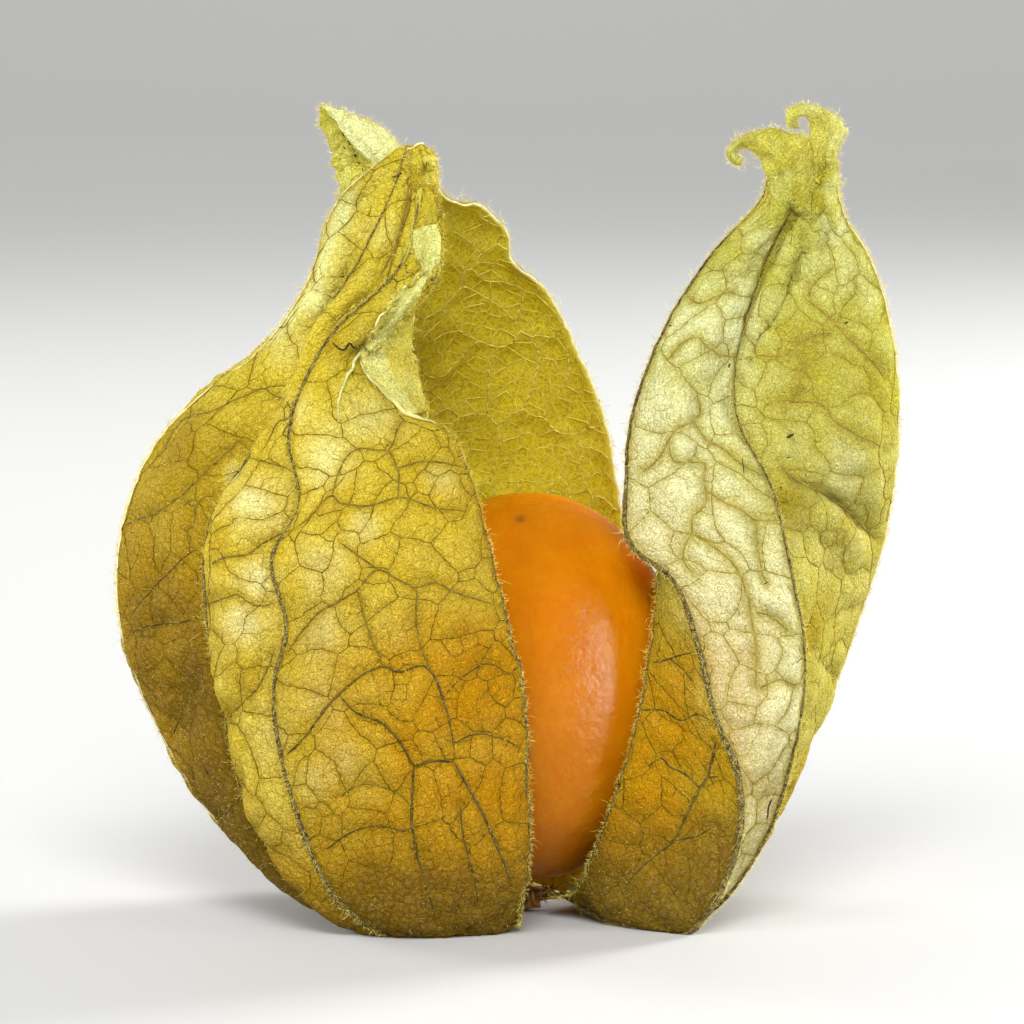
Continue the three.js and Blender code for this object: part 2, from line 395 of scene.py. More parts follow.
def vein_net(panel, cell, group, seed):
    """The edges of an irregular net of cells over a panel, and whether each is a main one.

    Cells are about cell mm across. A main edge parts two groups of about group mm across.
    """
    rng = random.Random(seed)
    seeds = cell_seeds(panel, cell, rng)
    corners, edges = cell_edges(seeds, group_middles(panel, group, rng))
    smooth_main_edges(corners, edges)
    shortest, longest = 0.04 * cell, 3 * cell
    edges = [edge for edge in edges if (corners[edge[0]] - corners[edge[1]]).length > shortest]
    starts = np.array([corners[a][:] for a, _, _ in edges])
    ends = np.array([corners[b][:] for _, b, _ in edges])
    main = np.array([is_main for _, _, is_main in edges])
    s0, v0 = panel.unrolled(starts[:, 0], starts[:, 1])
    s1, v1 = panel.unrolled(ends[:, 0], ends[:, 1])
    top = panel.length[-1]

    def inside(s, y):
        return (s > 0) & (s < 1) & (y > 0) & (y < top)
    in0, in1 = inside(s0, starts[:, 1]), inside(s1, ends[:, 1])
    keep = (in0 | in1) & (np.linalg.norm(starts - ends, axis=1) < longest)
    s0, v0, s1, v1, main = s0[keep], v0[keep], s1[keep], v1[keep], main[keep]
    s0, s1 = np.clip(s0, 0, 1), np.clip(s1, 0, 1)
    return s0, v0, s1, v1, main


def vein_lines(panel, net, steps, wander, seed):
    """Places along each edge of a net, bent a little, with the way out at each."""
    s0, v0, s1, v1, _ = net
    t = np.concatenate([[0], np.linspace(0.03, 0.97, steps - 2), [1]])[None, :]
    rng = np.random.default_rng(seed)
    bend = rng.normal(0, wander, (len(s0), 1)) * np.sin(np.pi * t)
    sag = rng.normal(0, wander, (len(s0), 1)) * np.sin(2 * np.pi * t)
    s = s0[:, None] * (1 - t) + s1[:, None] * t
    v = v0[:, None] * (1 - t) + v1[:, None] * t
    places, out = panel.at(s, v)
    along = unit(places[:, -1:] - places[:, :1])
    side = np.cross(along, out)
    return places + side * (bend + sag)[..., None], out


# ---------------------------------------------------------------- colours and shader parts

def add_node(tree, kind, **values):
    """A new node with its own settings."""
    node = tree.nodes.new(kind)
    for key, value in values.items():
        setattr(node, key, value)
    return node


def feed(tree, socket, value):
    """Links a socket or sets a plain value."""
    if isinstance(value, bpy.types.NodeSocket):
        tree.links.new(value, socket)
        return
    if hasattr(socket.default_value, "__len__") and len(socket.default_value) == 4 and len(value) == 3:
        value = (*value, 1.0)
    socket.default_value = value


def mix_colour(tree, factor, a, b, blend="MIX"):
    """From colour a to colour b by the factor."""
    node = add_node(tree, "ShaderNodeMix", data_type="RGBA", blend_type=blend)
    feed(tree, node.inputs["Factor"], factor)
    feed(tree, node.inputs[6], a)
    feed(tree, node.inputs[7], b)
    return node.outputs[2]


def tinted(tree, colour, tint, mask, amount):
    """The colour mixed towards a tint where the mask is, by at most the amount."""
    return mix_colour(tree, maths(tree, "MULTIPLY", mask, amount), colour, tint)


def maths(tree, operation, *values, clamp=False):
    """One step of arithmetic on values or sockets."""
    node = add_node(tree, "ShaderNodeMath", operation=operation, use_clamp=clamp)
    for socket, value in zip(node.inputs, values):
        feed(tree, socket, value)
    return node.outputs[0]


def spread(tree, value, low, high, to_low=0.0, to_high=1.0):
    """The value's range from low to high, stretched to the new range and held inside it."""
    node = add_node(tree, "ShaderNodeMapRange", clamp=True)
    for name, given in (("Value", value), ("From Min", low), ("From Max", high),
                        ("To Min", to_low), ("To Max", to_high)):
        feed(tree, node.inputs[name], given)
    return node.outputs["Result"]


def noise_value(tree, where, scale, detail=2.0, roughness=0.5):
    """Smooth noise, with the scale as waves in each metre."""
    node = add_node(tree, "ShaderNodeTexNoise")
    feed(tree, node.inputs["Vector"], where)
    feed(tree, node.inputs["Scale"], scale)
    node.inputs["Detail"].default_value = detail
    node.inputs["Roughness"].default_value = roughness
    return node.outputs["Fac"]


def node_group(name, inputs, outputs):
    """A new shader group, with its own input and output nodes."""
    group = bpy.data.node_groups.new(name, "ShaderNodeTree")
    for label, kind, value in inputs:
        socket = group.interface.new_socket(label, in_out="INPUT", socket_type=kind)
        if value is not None:
            socket.default_value = value
    for label, kind in outputs:
        group.interface.new_socket(label, in_out="OUTPUT", socket_type=kind)
    return group, group.nodes.new("NodeGroupInput").outputs, group.nodes.new("NodeGroupOutput").inputs


def placed(tree, group, **values):
    """The outputs of a group put into a material, with its inputs given by name."""
    node = add_node(tree, "ShaderNodeGroup", node_tree=group)
    for name, value in values.items():
        feed(tree, node.inputs[name.replace("_", " ")], value)
    return node.outputs


def make_areoles():
    """The finest mesh of veins: thin lines round tiny cells, each a little puffed."""
    group, given, result = node_group(
        "areoles",
        [("Map", "NodeSocketVector", None), ("Cell", "NodeSocketFloat", 0.5),
         ("Line", "NodeSocketFloat", 0.12), ("Wander", "NodeSocketFloat", 0.25)],
        [("Line", "NodeSocketFloat"), ("Puff", "NodeSocketFloat"), ("Tone", "NodeSocketFloat")])
    scaled = add_node(group, "ShaderNodeVectorMath", operation="SCALE")
    feed(group, scaled.inputs[0], given["Map"])
    feed(group, scaled.inputs["Scale"], maths(group, "DIVIDE", 1.0, given["Cell"]))
    stir = add_node(group, "ShaderNodeTexNoise")
    feed(group, stir.inputs["Vector"], scaled.outputs[0])
    stir.inputs["Scale"].default_value = 1.3
    centred = add_node(group, "ShaderNodeVectorMath", operation="SUBTRACT")
    feed(group, centred.inputs[0], stir.outputs["Color"])
    centred.inputs[1].default_value = (0.5, 0.5, 0.5)
    moved = add_node(group, "ShaderNodeVectorMath", operation="SCALE")
    feed(group, moved.inputs[0], centred.outputs[0])
    feed(group, moved.inputs["Scale"], maths(group, "MULTIPLY", given["Wander"], 2.0))
    total = add_node(group, "ShaderNodeVectorMath", operation="ADD")
    feed(group, total.inputs[0], scaled.outputs[0])
    feed(group, total.inputs[1], moved.outputs[0])
    edges = add_node(group, "ShaderNodeTexVoronoi", feature="DISTANCE_TO_EDGE", voronoi_dimensions="2D")
    feed(group, edges.inputs["Vector"], total.outputs[0])
    edges.inputs["Scale"].default_value = 1.0
    cells = add_node(group, "ShaderNodeTexVoronoi", feature="F1", voronoi_dimensions="2D")
    feed(group, cells.inputs["Vector"], total.outputs[0])
    cells.inputs["Scale"].default_value = 1.0
    tone = add_node(group, "ShaderNodeSeparateColor")
    feed(group, tone.inputs[0], cells.outputs["Color"])
    feed(group, result["Line"], spread(group, edges.outputs["Distance"], 0.0, given["Line"], 1.0, 0.0))
    feed(group, result["Puff"], spread(group, edges.outputs["Distance"], 0.0, 0.3))
    feed(group, result["Tone"], tone.outputs[0])
    return group


def make_blotches():
    """Soft patches and fine felt, as one mask each, from the piece's own coordinates."""
    group, given, result = node_group(
        "blotches",
        [("Place", "NodeSocketVector", None), ("Patch", "NodeSocketFloat", 220.0),
         ("Felt", "NodeSocketFloat", 5200.0)],
        [("Patches", "NodeSocketFloat"), ("Small", "NodeSocketFloat"), ("Felt", "NodeSocketFloat")])
    fine_scale = maths(group, "MULTIPLY", given["Patch"], 5.0)
    for label, scale, detail, edge in (("Patches", given["Patch"], 3.0, 0.3),
                                       ("Small", fine_scale, 3.0, 0.3),
                                       ("Felt", given["Felt"], 2.0, 0.35)):
        value = noise_value(group, given["Place"], scale, detail)
        feed(group, result[label], spread(group, value, edge, 1 - edge))
    return group


AREOLES = make_areoles()
BLOTCHES = make_blotches()


def new_material(name):
    """A material with its node tree and its main shader."""
    material = bpy.data.materials.new(name)
    material.use_nodes = True
    tree = material.node_tree
    shader = tree.nodes["Principled BSDF"]
    return material, tree, shader


def own_place(tree):
    """Each place in the piece's own metres."""
    return add_node(tree, "ShaderNodeTexCoord").outputs["Object"]


def own_chart(tree):
    """Each place of a sheet laid flat, in millimetres."""
    return add_node(tree, "ShaderNodeUVMap", uv_map="husk_map").outputs["UV"]


def own_mark(tree, name):
    """A value that the mesh notes at each place."""
    return add_node(tree, "ShaderNodeAttribute", attribute_name=name).outputs["Fac"]


def bumped(tree, shader, height, strength, distance):
    """Gives the shader a fine relief, the distance in metres, and returns its way out."""
    bump = add_node(tree, "ShaderNodeBump")
    bump.inputs["Strength"].default_value = strength
    bump.inputs["Distance"].default_value = distance
    feed(tree, bump.inputs["Height"], height)
    feed(tree, shader.inputs["Normal"], bump.outputs["Normal"])
    return bump.outputs["Normal"]


def thin(tree, shader, colour, normal, amount):
    """Lets light through: the shader mixed with what shines through a thin dry sheet."""
    glow = add_node(tree, "ShaderNodeBsdfTranslucent")
    feed(tree, glow.inputs["Color"], colour)
    feed(tree, glow.inputs["Normal"], normal)
    both = add_node(tree, "ShaderNodeMixShader")
    both.inputs["Fac"].default_value = amount
    tree.links.new(shader.outputs[0], both.inputs[1])
    tree.links.new(glow.outputs[0], both.inputs[2])
    tree.links.new(both.outputs[0], tree.nodes["Material Output"].inputs["Surface"])


def husk_outside(name, pale, straw, ochre, brown, line, patchy=0.42):
    """The felted outside of the husk, bleached in patches and browner towards the base.

    Its colours go from bleached to browned, and the line is the colour beside a vein. Its marks
    paint highlights, shade and the berry's glow into these colours.
    """
    material, tree, shader = new_material(name)
    place = own_place(tree)
    chart = own_chart(tree)
    near = own_mark(tree, "near_vein")
    halo = own_mark(tree, "vein_halo")
    painted_berry_glow = own_mark(tree, "berry_glow")
    low = own_mark(tree, "browning")
    bleach_and_highlight = own_mark(tree, "bleach_and_highlight")
    small = placed(tree, AREOLES, Map=chart, Cell=0.42, Line=0.14, Wander=0.3)
    cloud = placed(tree, BLOTCHES, Place=place, Patch=170.0, Felt=13000.0)
    half_small = maths(tree, "MULTIPLY", cloud["Small"], 0.5)
    tone = maths(tree, "MULTIPLY_ADD", cloud["Patches"], 0.5, half_small)
    # The bleach mark paints highlights: paler where the light falls brightest.
    tone = maths(tree, "ADD", maths(tree, "MULTIPLY", tone, patchy), bleach_and_highlight, clamp=True)
    colour = mix_colour(tree, tone, straw, pale)
    colour = tinted(tree, colour, straw, halo, 0.5)
    # Browner towards the base, and painted shade where the panel tones and the tints brown the husk.
    colour = mix_colour(tree, maths(tree, "MULTIPLY", low, 2.0, clamp=True), colour, ochre)
    colour = tinted(tree, colour, ochre, halo, 0.16)
    colour = mix_colour(tree, maths(tree, "MULTIPLY_ADD", low, 2.0, -1.0, clamp=True), colour, brown)
    colour = tinted(tree, colour, pale, small["Puff"], 0.07)
    # Painted glow: the berry's orange where it shines through the husk.
    colour = tinted(tree, colour, BERRY_SHINE, painted_berry_glow, 0.95)
    colour = tinted(tree, colour, ochre, small["Tone"], 0.2)
    colour = tinted(tree, colour, line, small["Line"], 0.2)
    colour = tinted(tree, colour, line, near, 0.35)
    colour = mix_colour(tree, 1.0, colour, spread(tree, cloud["Felt"], 0.0, 1.0, 0.68, 1.24), "MULTIPLY")
    rise = add_node(tree, "ShaderNodeSeparateXYZ")
    feed(tree, rise.inputs[0], place)
    high = spread(tree, rise.outputs["Z"], 0.016, 0.033)
    colour = mix_colour(tree, high, colour, NECK_GREEN, "MULTIPLY")
    feed(tree, shader.inputs["Base Color"], colour)
    feed(tree, shader.inputs["Roughness"], spread(tree, cloud["Small"], 0.0, 1.0, 0.55, 0.75))
    shader.inputs["Specular IOR Level"].default_value = 0.06
    raised = maths(tree, "MULTIPLY", cloud["Felt"], 0.6)
    height = maths(tree, "MULTIPLY_ADD", small["Puff"], 0.6, raised)
    normal = bumped(tree, shader, height, 0.9, 0.00011)
    thin(tree, shader, colour, normal, 0.45)
    return material


def husk_inside(name, ground, dots, line):
    """The smoother inside, with pale lines round darker dotted cells."""
    material, tree, shader = new_material(name)
    place = own_place(tree)
    chart = own_chart(tree)
    near = own_mark(tree, "near_vein")
    small = placed(tree, AREOLES, Map=chart, Cell=0.5, Line=0.16, Wander=0.3)
    grain = placed(tree, AREOLES, Map=chart, Cell=0.085, Line=0.3, Wander=0.1)
    cloud = placed(tree, BLOTCHES, Place=place, Patch=170.0, Felt=5200.0)
    dotted = maths(tree, "MULTIPLY", maths(tree, "SUBTRACT", 1.0, near, clamp=True),
                   spread(tree, grain["Tone"], 0.45, 0.75))
    colour = tinted(tree, ground, line, cloud["Patches"], 0.35)
    colour = tinted(tree, colour, dots, dotted, 0.5)
    colour = tinted(tree, colour, line, small["Line"], 0.4)
    colour = tinted(tree, colour, line, near, 0.55)
    feed(tree, shader.inputs["Base Color"], colour)
    shader.inputs["Roughness"].default_value = 0.55
    shader.inputs["Specular IOR Level"].default_value = 0.15
    normal = bumped(tree, shader, maths(tree, "SUBTRACT", small["Line"], grain["Line"]), 0.4, 0.00006)
    thin(tree, shader, colour, normal, 0.5)
    return material


def fibre(name, dark, light, amount=0.0, scale=2600.0, roughness=0.7):
    """Veins, ribs, hairs and dry bits: two tones in streaks, letting through an amount of light."""
    material, tree, shader = new_material(name)
    place = own_place(tree)
    streaks = noise_value(tree, place, scale, 3.0, 0.6)
    colour = mix_colour(tree, spread(tree, streaks, 0.35, 0.65), dark, light)
    feed(tree, shader.inputs["Base Color"], colour)
    shader.inputs["Roughness"].default_value = roughness
    shader.inputs["Specular IOR Level"].default_value = 0.1
    normal = bumped(tree, shader, streaks, 0.5, 0.00005)
    if amount:
        thin(tree, shader, colour, normal, amount)
    return material


def berry_material():
    """Smooth waxy skin over wet flesh, with faint mottling and the pits that break up its gloss."""
    material, tree, shader = new_material("berry_skin")
    place = own_place(tree)
    mottle = noise_value(tree, place, 320.0, 4.0, 0.55)
    specks = noise_value(tree, place, 2600.0, 2.0)
    scar = own_mark(tree, "scar")
    painted_low_shade = own_mark(tree, "painted_low_shade")
    painted_light = own_mark(tree, "painted_light")
    mottled = spread(tree, mottle, 0.35, 0.65)
    colour = mix_colour(tree, mottled, (0.355, 0.108, 0.0005), (0.39, 0.131, 0.0007))
    # Painted light: a brighter orange on the right side and beside the right rib, against the husk's
    # shadow.
    colour = mix_colour(tree, painted_light, colour, (0.95, 0.28, 0.0008))
    # Painted shade: a darker, redder orange towards the bottom.
    colour = mix_colour(tree, painted_low_shade, colour, (0.32, 0.068, 0.0003))
    colour = mix_colour(tree, spread(tree, specks, 0.5, 0.75, 0.0, 0.2), colour, (0.46, 0.18, 0.0025))
    colour = mix_colour(tree, scar, colour, (0.09, 0.03, 0.008))
    feed(tree, shader.inputs["Base Color"], colour)
    feed(tree, shader.inputs["Roughness"], spread(tree, specks, 0.3, 0.7, 0.33, 0.48))
    shader.inputs["Specular IOR Level"].default_value = 0.12
    shader.inputs["Subsurface Weight"].default_value = 0.8
    shader.inputs["Subsurface Radius"].default_value = (1.0, 0.3, 0.05)
    shader.inputs["Subsurface Scale"].default_value = 0.004
    shader.inputs["Coat Weight"].default_value = 0.02
    shader.inputs["Coat Roughness"].default_value = 0.15
    pits = maths(tree, "MULTIPLY_ADD", specks, 0.5, noise_value(tree, place, 1100.0, 3.0))
    bumped(tree, shader, pits, 0.9, 0.00011)
    return material


# The painted glow the husk takes on where the berry shines through it, and its tint towards the neck.
BERRY_SHINE = (0.62, 0.29, 0.002)
NECK_GREEN = (0.93, 1.0, 0.88)

OUTSIDE_LEFT = husk_outside("husk_outside_left", (1.0, 0.96, 0.47), (0.74, 0.55, 0.01),
                            (0.46, 0.27, 0.003), (0.20, 0.105, 0.0015), (0.20, 0.135, 0.006),
                            patchy=0.22)
OUTSIDE_RIGHT = husk_outside("husk_outside_right", (1.0, 0.98, 0.60), (0.60, 0.53, 0.03),
                             (0.44, 0.33, 0.005), (0.17, 0.09, 0.0015), (0.30, 0.25, 0.02))
THREAD = fibre("husk_pale_thread", (0.42, 0.42, 0.16), (0.66, 0.66, 0.32), 0.3)
TORN_LIP = husk_outside("husk_torn_lip", (0.98, 0.94, 0.46), (0.80, 0.74, 0.22), (0.66, 0.54, 0.09),
                        (0.42, 0.30, 0.03), (0.50, 0.46, 0.12))
INSIDE = husk_inside("husk_inside", (0.60, 0.52, 0.014), (0.27, 0.21, 0.008), (0.82, 0.75, 0.13))
VEIN = fibre("husk_vein", (0.09, 0.058, 0.009), (0.19, 0.13, 0.02))
DARK_VEIN = fibre("husk_dark_vein", (0.04, 0.025, 0.005), (0.12, 0.078, 0.014))
FINE_VEIN = fibre("husk_fine_vein", (0.14, 0.095, 0.006), (0.26, 0.18, 0.01), 0.25)
THREAD_VEIN = fibre("husk_thread_vein", (0.28, 0.195, 0.01), (0.42, 0.30, 0.016), 0.3)
PALE_VEIN = fibre("husk_pale_vein", (0.16, 0.11, 0.016), (0.28, 0.21, 0.04))
PALE_FINE_VEIN = fibre("husk_pale_fine_vein", (0.27, 0.20, 0.02), (0.40, 0.31, 0.04), 0.25)
PALE_THREAD_VEIN = fibre("husk_pale_thread_vein", (0.42, 0.34, 0.05), (0.56, 0.47, 0.08), 0.3)
# Veins drawn darker where the husk is deep in tone: partly browned, partly painted shade and the berry's
# painted glow.
DEEP_TONED_VEIN = fibre("husk_browned_vein", (0.11, 0.06, 0.003), (0.22, 0.13, 0.005), 0.2)
INNER_VEIN = fibre("husk_inner_vein", (0.80, 0.72, 0.12), (0.93, 0.86, 0.24), 0.4)
RIB = fibre("husk_rib", (0.02, 0.014, 0.004), (0.17, 0.125, 0.04), scale=5200.0)
# Painted rim light: a pale colour for the sheets' rims, the outline ribs and the left back tear, partly
# the paler torn fibres.
PALE_AND_RIM_LIT_EDGE = fibre("husk_pale_and_rim_lit_edge", (0.74, 0.68, 0.26), (0.93, 0.91, 0.58), 0.4)
HAIR = fibre("husk_hair", (0.72, 0.58, 0.07), (0.93, 0.85, 0.24), 0.3, scale=900.0, roughness=0.6)
DARK_SPECK = fibre("dark_speck", (0.015, 0.01, 0.006), (0.05, 0.03, 0.015), scale=5000.0)
DRY_STALK = fibre("dry_stalk", (0.12, 0.05, 0.012), (0.38, 0.20, 0.06), scale=1800.0, roughness=0.75)
BERRY = berry_material()

# ---------------------------------------------------------------- the husk's plan

# Ribs of each half, in clockwise order seen from above, from the ring round the stem to the neck.
LEFT_RIBS = [
    [(0.6, -2.3, 1.1), (0.5, -5.0, 0.3), (0.5, -6.9, 0.9), (1.0, -8.0, 3.6), (1.0, -8.6, 7.4),
     (0.8, -8.8, 11.9), (-0.4, -8.2, 17.2), (-1.8, -6.8, 22.4), (-3.0, -5.7, 24.8),
     (-5.1, -5.0, 25.7), (-7.4, -4.0, 28.5), (-5.4, -3.5, 30.4), (-3.5, -2.9, 32.0),
     (-3.4, -2.1, 35.9), (-3.7, -2.2, 37.0), (-3.9, -2.2, 38.2)],
    [(-0.9, -2.2, 1.1), (-3.6, -5.0, 0.1), (-5.8, -7.3, 0.1), (-8.4, -8.1, 2.1),
     (-10.7, -8.0, 7.6), (-11.4, -7.7, 12.3), (-10.8, -7.5, 15.4), (-11.5, -6.9, 18.6),
     (-10.2, -6.3, 21.2), (-10.7, -5.4, 24.8), (-8.8, -4.4, 29.2), (-5.4, -3.6, 32.6),
     (-4.3, -2.6, 36.6), (-4.4, -2.3, 38.6)],
    [(-1.5, -1.5, 1.1), (-5.0, -3.8, 0.1), (-8.5, -6.0, 1.0), (-12.6, -5.5, 5.9),
     (-14.0, -5.1, 11.4), (-14.9, -4.7, 16.4), (-14.6, -4.3, 20.2), (-12.9, -4.2, 23.1),
     (-10.9, -4.0, 25.8), (-9.3, -3.4, 29.8), (-7.0, -2.9, 33.5), (-5.5, -2.3, 36.8),
     (-5.0, -2.1, 38.6)],
    [(-1.7, 0.0, 1.1), (-5.4, -0.8, 0.1), (-9.4, -1.6, 0.5), (-14.2, -1.0, 4.4),
     (-17.4, -0.4, 9.2), (-19.5, 0.2, 15.1), (-19.2, 0.4, 19.8), (-17.5, 0.2, 23.7),
     (-15.0, -0.2, 26.3), (-12.6, -0.7, 28.1), (-10.6, -1.0, 30.6), (-9.4, -1.2, 33.0),
     (-9.0, -1.2, 34.6), (-8.3, -1.3, 36.0), (-6.8, -1.5, 37.4), (-5.5, -1.6, 38.4)],
    [(-1.0, 1.5, 1.1), (-4.4, 3.4, 0.1), (-9.6, 6.8, 3.0), (-14.0, 8.0, 8.0), (-16.2, 8.2, 13.6),
     (-16.6, 7.2, 19.0), (-15.6, 5.4, 23.2), (-13.6, 3.8, 26.4), (-11.0, 2.5, 29.2),
     (-9.2, 1.6, 31.9), (-7.9, 0.9, 34.6), (-6.4, -0.2, 37.2), (-5.3, -0.8, 38.3)],
    [(0.2, 2.0, 1.1), (-0.6, 5.0, 0.1), (-3.0, 9.8, 3.2), (-5.0, 12.2, 8.6), (-5.6, 12.8, 14.4),
     (-5.2, 11.8, 19.6), (-4.6, 10.0, 23.4), (-4.6, 8.2, 26.2), (-4.9, 6.2, 28.8),
     (-5.0, 4.4, 31.4), (-4.8, 2.6, 34.4), (-4.7, 0.8, 37.0), (-4.6, -0.5, 38.3)],
    [(1.1, 1.7, 1.1), (3.2, 4.6, 0.1), (5.2, 8.4, 3.0), (6.2, 10.6, 8.0), (6.6, 11.2, 13.0),
     (6.3, 10.4, 16.0), (5.8, 9.4, 19.6), (4.9, 8.2, 24.4), (3.2, 7.2, 28.5), (2.3, 6.4, 30.3),
     (1.5, 5.9, 31.4), (0.5, 5.3, 32.1), (0.1, 4.9, 32.7), (0.0, 4.2, 33.9), (-0.7, 3.5, 34.7),
     (-1.4, 2.8, 35.4), (-2.3, 2.0, 35.5), (-3.3, 0.8, 36.1), (-3.8, -1.0, 38.0)],
]
RIGHT_RIBS = [
    [(2.9, 1.4, 1.1), (6.0, 3.4, 0.1), (8.0, 4.9, 1.2), (10.0, 7.4, 4.6), (12.2, 8.6, 10.0),
     (13.4, 8.4, 16.0), (14.2, 7.0, 22.0), (14.7, 5.0, 27.4), (15.0, 2.8, 32.0), (15.2, 0.8, 36.0),
     (15.2, 0.0, 37.6)],
    [(3.5, 0.4, 1.1), (7.4, 0.5, 0.1), (9.8, 0.6, 0.8), (12.7, 0.7, 4.0), (15.9, 0.8, 10.4),
     (17.9, 0.6, 15.7), (19.0, 0.2, 19.8), (19.4, -0.4, 24.4), (19.1, -1.0, 28.9),
     (18.0, -1.4, 32.8), (16.7, -1.4, 35.0), (16.3, -1.1, 36.4), (16.3, -1.1, 37.8)],
    [(3.3, -0.8, 1.1), (7.4, -3.2, 0.1), (9.8, -4.6, 0.6), (12.7, -5.9, 4.7), (14.1, -6.8, 9.7),
     (14.5, -7.2, 13.7), (13.8, -7.4, 18.1), (12.8, -6.6, 22.3), (11.2, -5.0, 25.6),
     (11.4, -3.4, 28.8), (12.7, -2.4, 32.6), (14.3, -1.9, 36.0), (14.8, -1.8, 37.8)],
    [(2.7, -1.6, 1.1), (5.6, -4.4, 0.15), (8.8, -6.6, 0.0), (11.1, -7.7, 4.1), (11.3, -8.2, 7.8),
     (10.1, -8.4, 11.1), (9.2, -8.2, 14.7), (8.1, -7.7, 17.6), (5.9, -7.0, 19.5), (5.8, -6.2, 22.4),
     (6.1, -5.4, 25.5), (7.6, -4.2, 29.4), (10.0, -2.8, 33.2), (12.5, -1.7, 35.8),
     (12.9, -1.5, 37.2)],
    [(2.0, -2.0, 1.1), (3.4, -4.0, 1.9), (4.7, -5.8, 5.1), (5.9, -6.9, 8.9), (6.85, -6.9, 13.0),
     (7.3, -6.0, 17.0), (7.35, -4.2, 20.6), (8.2, -2.0, 24.8), (9.4, -1.2, 29.0), (11.4, -0.6, 33.0),
     (13.2, -0.4, 36.0), (13.4, -0.6, 37.2)],
]

# For each panel: how far it puffs out from stem to neck, its columns, and its own swells, each
# (across, up, reach across, reach up, height in mm).
LEFT_PANELS = [
    ([0, 1.4, 1.8, 0.6, 0], 56, [(0.5, 0.62, 0.3, 0.08, 0.5)]),
    ([0, 0.5, 0.9, 0.5, 0], 26, [(0.45, 0.5, 0.3, 0.07, 0.5), (0.5, 0.36, 0.4, 0.05, -0.3)]),
    ([0, 0.2, 0.4, 0.3, 0], 30, [(0.5, 0.5, 0.3, 0.12, -0.4), (0.5, 0.66, 0.3, 0.05, 0.5)]),
    ([0, 0.8, 0.8, 0.1, 0], 16, []),
    ([0, 1.2, 1.2, 0.8, 0], 22, [(0.5, 0.3, 0.3, 0.1, -0.5)]),
    ([0, 0.8, 1.0, 0.8, 0], 30, [(0.6, 0.6, 0.3, 0.1, 0.15)]),
]
RIGHT_PANELS = [
    ([0, 0.4, 0.7, 0.8, 0], 30, [(0.5, 0.45, 0.3, 0.1, 0.4)]),
    ([0, -0.2, 0.2, 1.5, 0.3], 44, [(0.45, 0.73, 0.35, 0.09, 0.6), (0.5, 0.58, 0.4, 0.05, -0.4)]),
    ([0, -0.3, 0.4, 0.9, 0.3], 38, [(0.5, 0.4, 0.3, 0.08, 0.4), (0.6, 0.7, 0.2, 0.1, 0.5)]),
    ([0, 0.2, 0.3, 0, 0], 26, []),
]


def near_line(panel, line):
    """How far each place on a panel is from a line, and where along the line that is, 0 to 1."""
    flat = panel.net.reshape(-1, 3)
    gaps = np.linalg.norm(flat[:, None] - line[None], axis=2)
    nearest = gaps.argmin(axis=1)
    shape = panel.net.shape[:2]
    return gaps.min(axis=1).reshape(shape), (nearest / (len(line) - 1)).reshape(shape)


def husk_panels(ribs, plans, seed, smooth=None):
    """The panels of one half, gently crumpled, one of them less than the rest."""
    panels = []
    for k, (puff, columns, swells) in enumerate(plans):
        panel = Panel(even_line(ribs[k], ROWS + 1), even_line(ribs[k + 1], ROWS + 1), puff, columns,
                      swells)
        rumple = (0.28 * ripple(panel.net, 4.5, seed) + 0.13 * ripple(panel.net, 1.9, seed + 1)
                  + 0.045 * ripple(panel.net, 0.8, seed + 2))
        panel.push(rumple * panel.edge_fade * (0.4 if k == smooth else 1.0))
        panels.append(panel)
    return panels


def tear(panel, side, size, seed):
    """Makes one side of a panel a torn edge, with small nicks that die out inwards."""
    columns = range(4) if side == "first" else range(-1, -5, -1)
    line = panel.net[:, columns[0]].copy()
    wave = np.stack([ripple(line, 0.9, seed + k) for k in range(3)], axis=1)
    fine = np.stack([ripple(line, 0.3, seed + 3 + k) for k in range(3)], axis=1)
    for step, column in enumerate(columns):
        panel.net[:, column] += size * (wave + 0.5 * fine) * math.exp(-step / 1.3)
    panel.refresh()


left_panels = husk_panels(LEFT_RIBS, LEFT_PANELS, 1, smooth=5)
right_panels = husk_panels(RIGHT_RIBS, RIGHT_PANELS, 7)
tear(left_panels[0], "first", 0.07, 1)
tear(left_panels[-1], "last", 0.04, 5)
tear(right_panels[0], "first", 0.06, 9)
tear(right_panels[-1], "last", 0.05, 13)

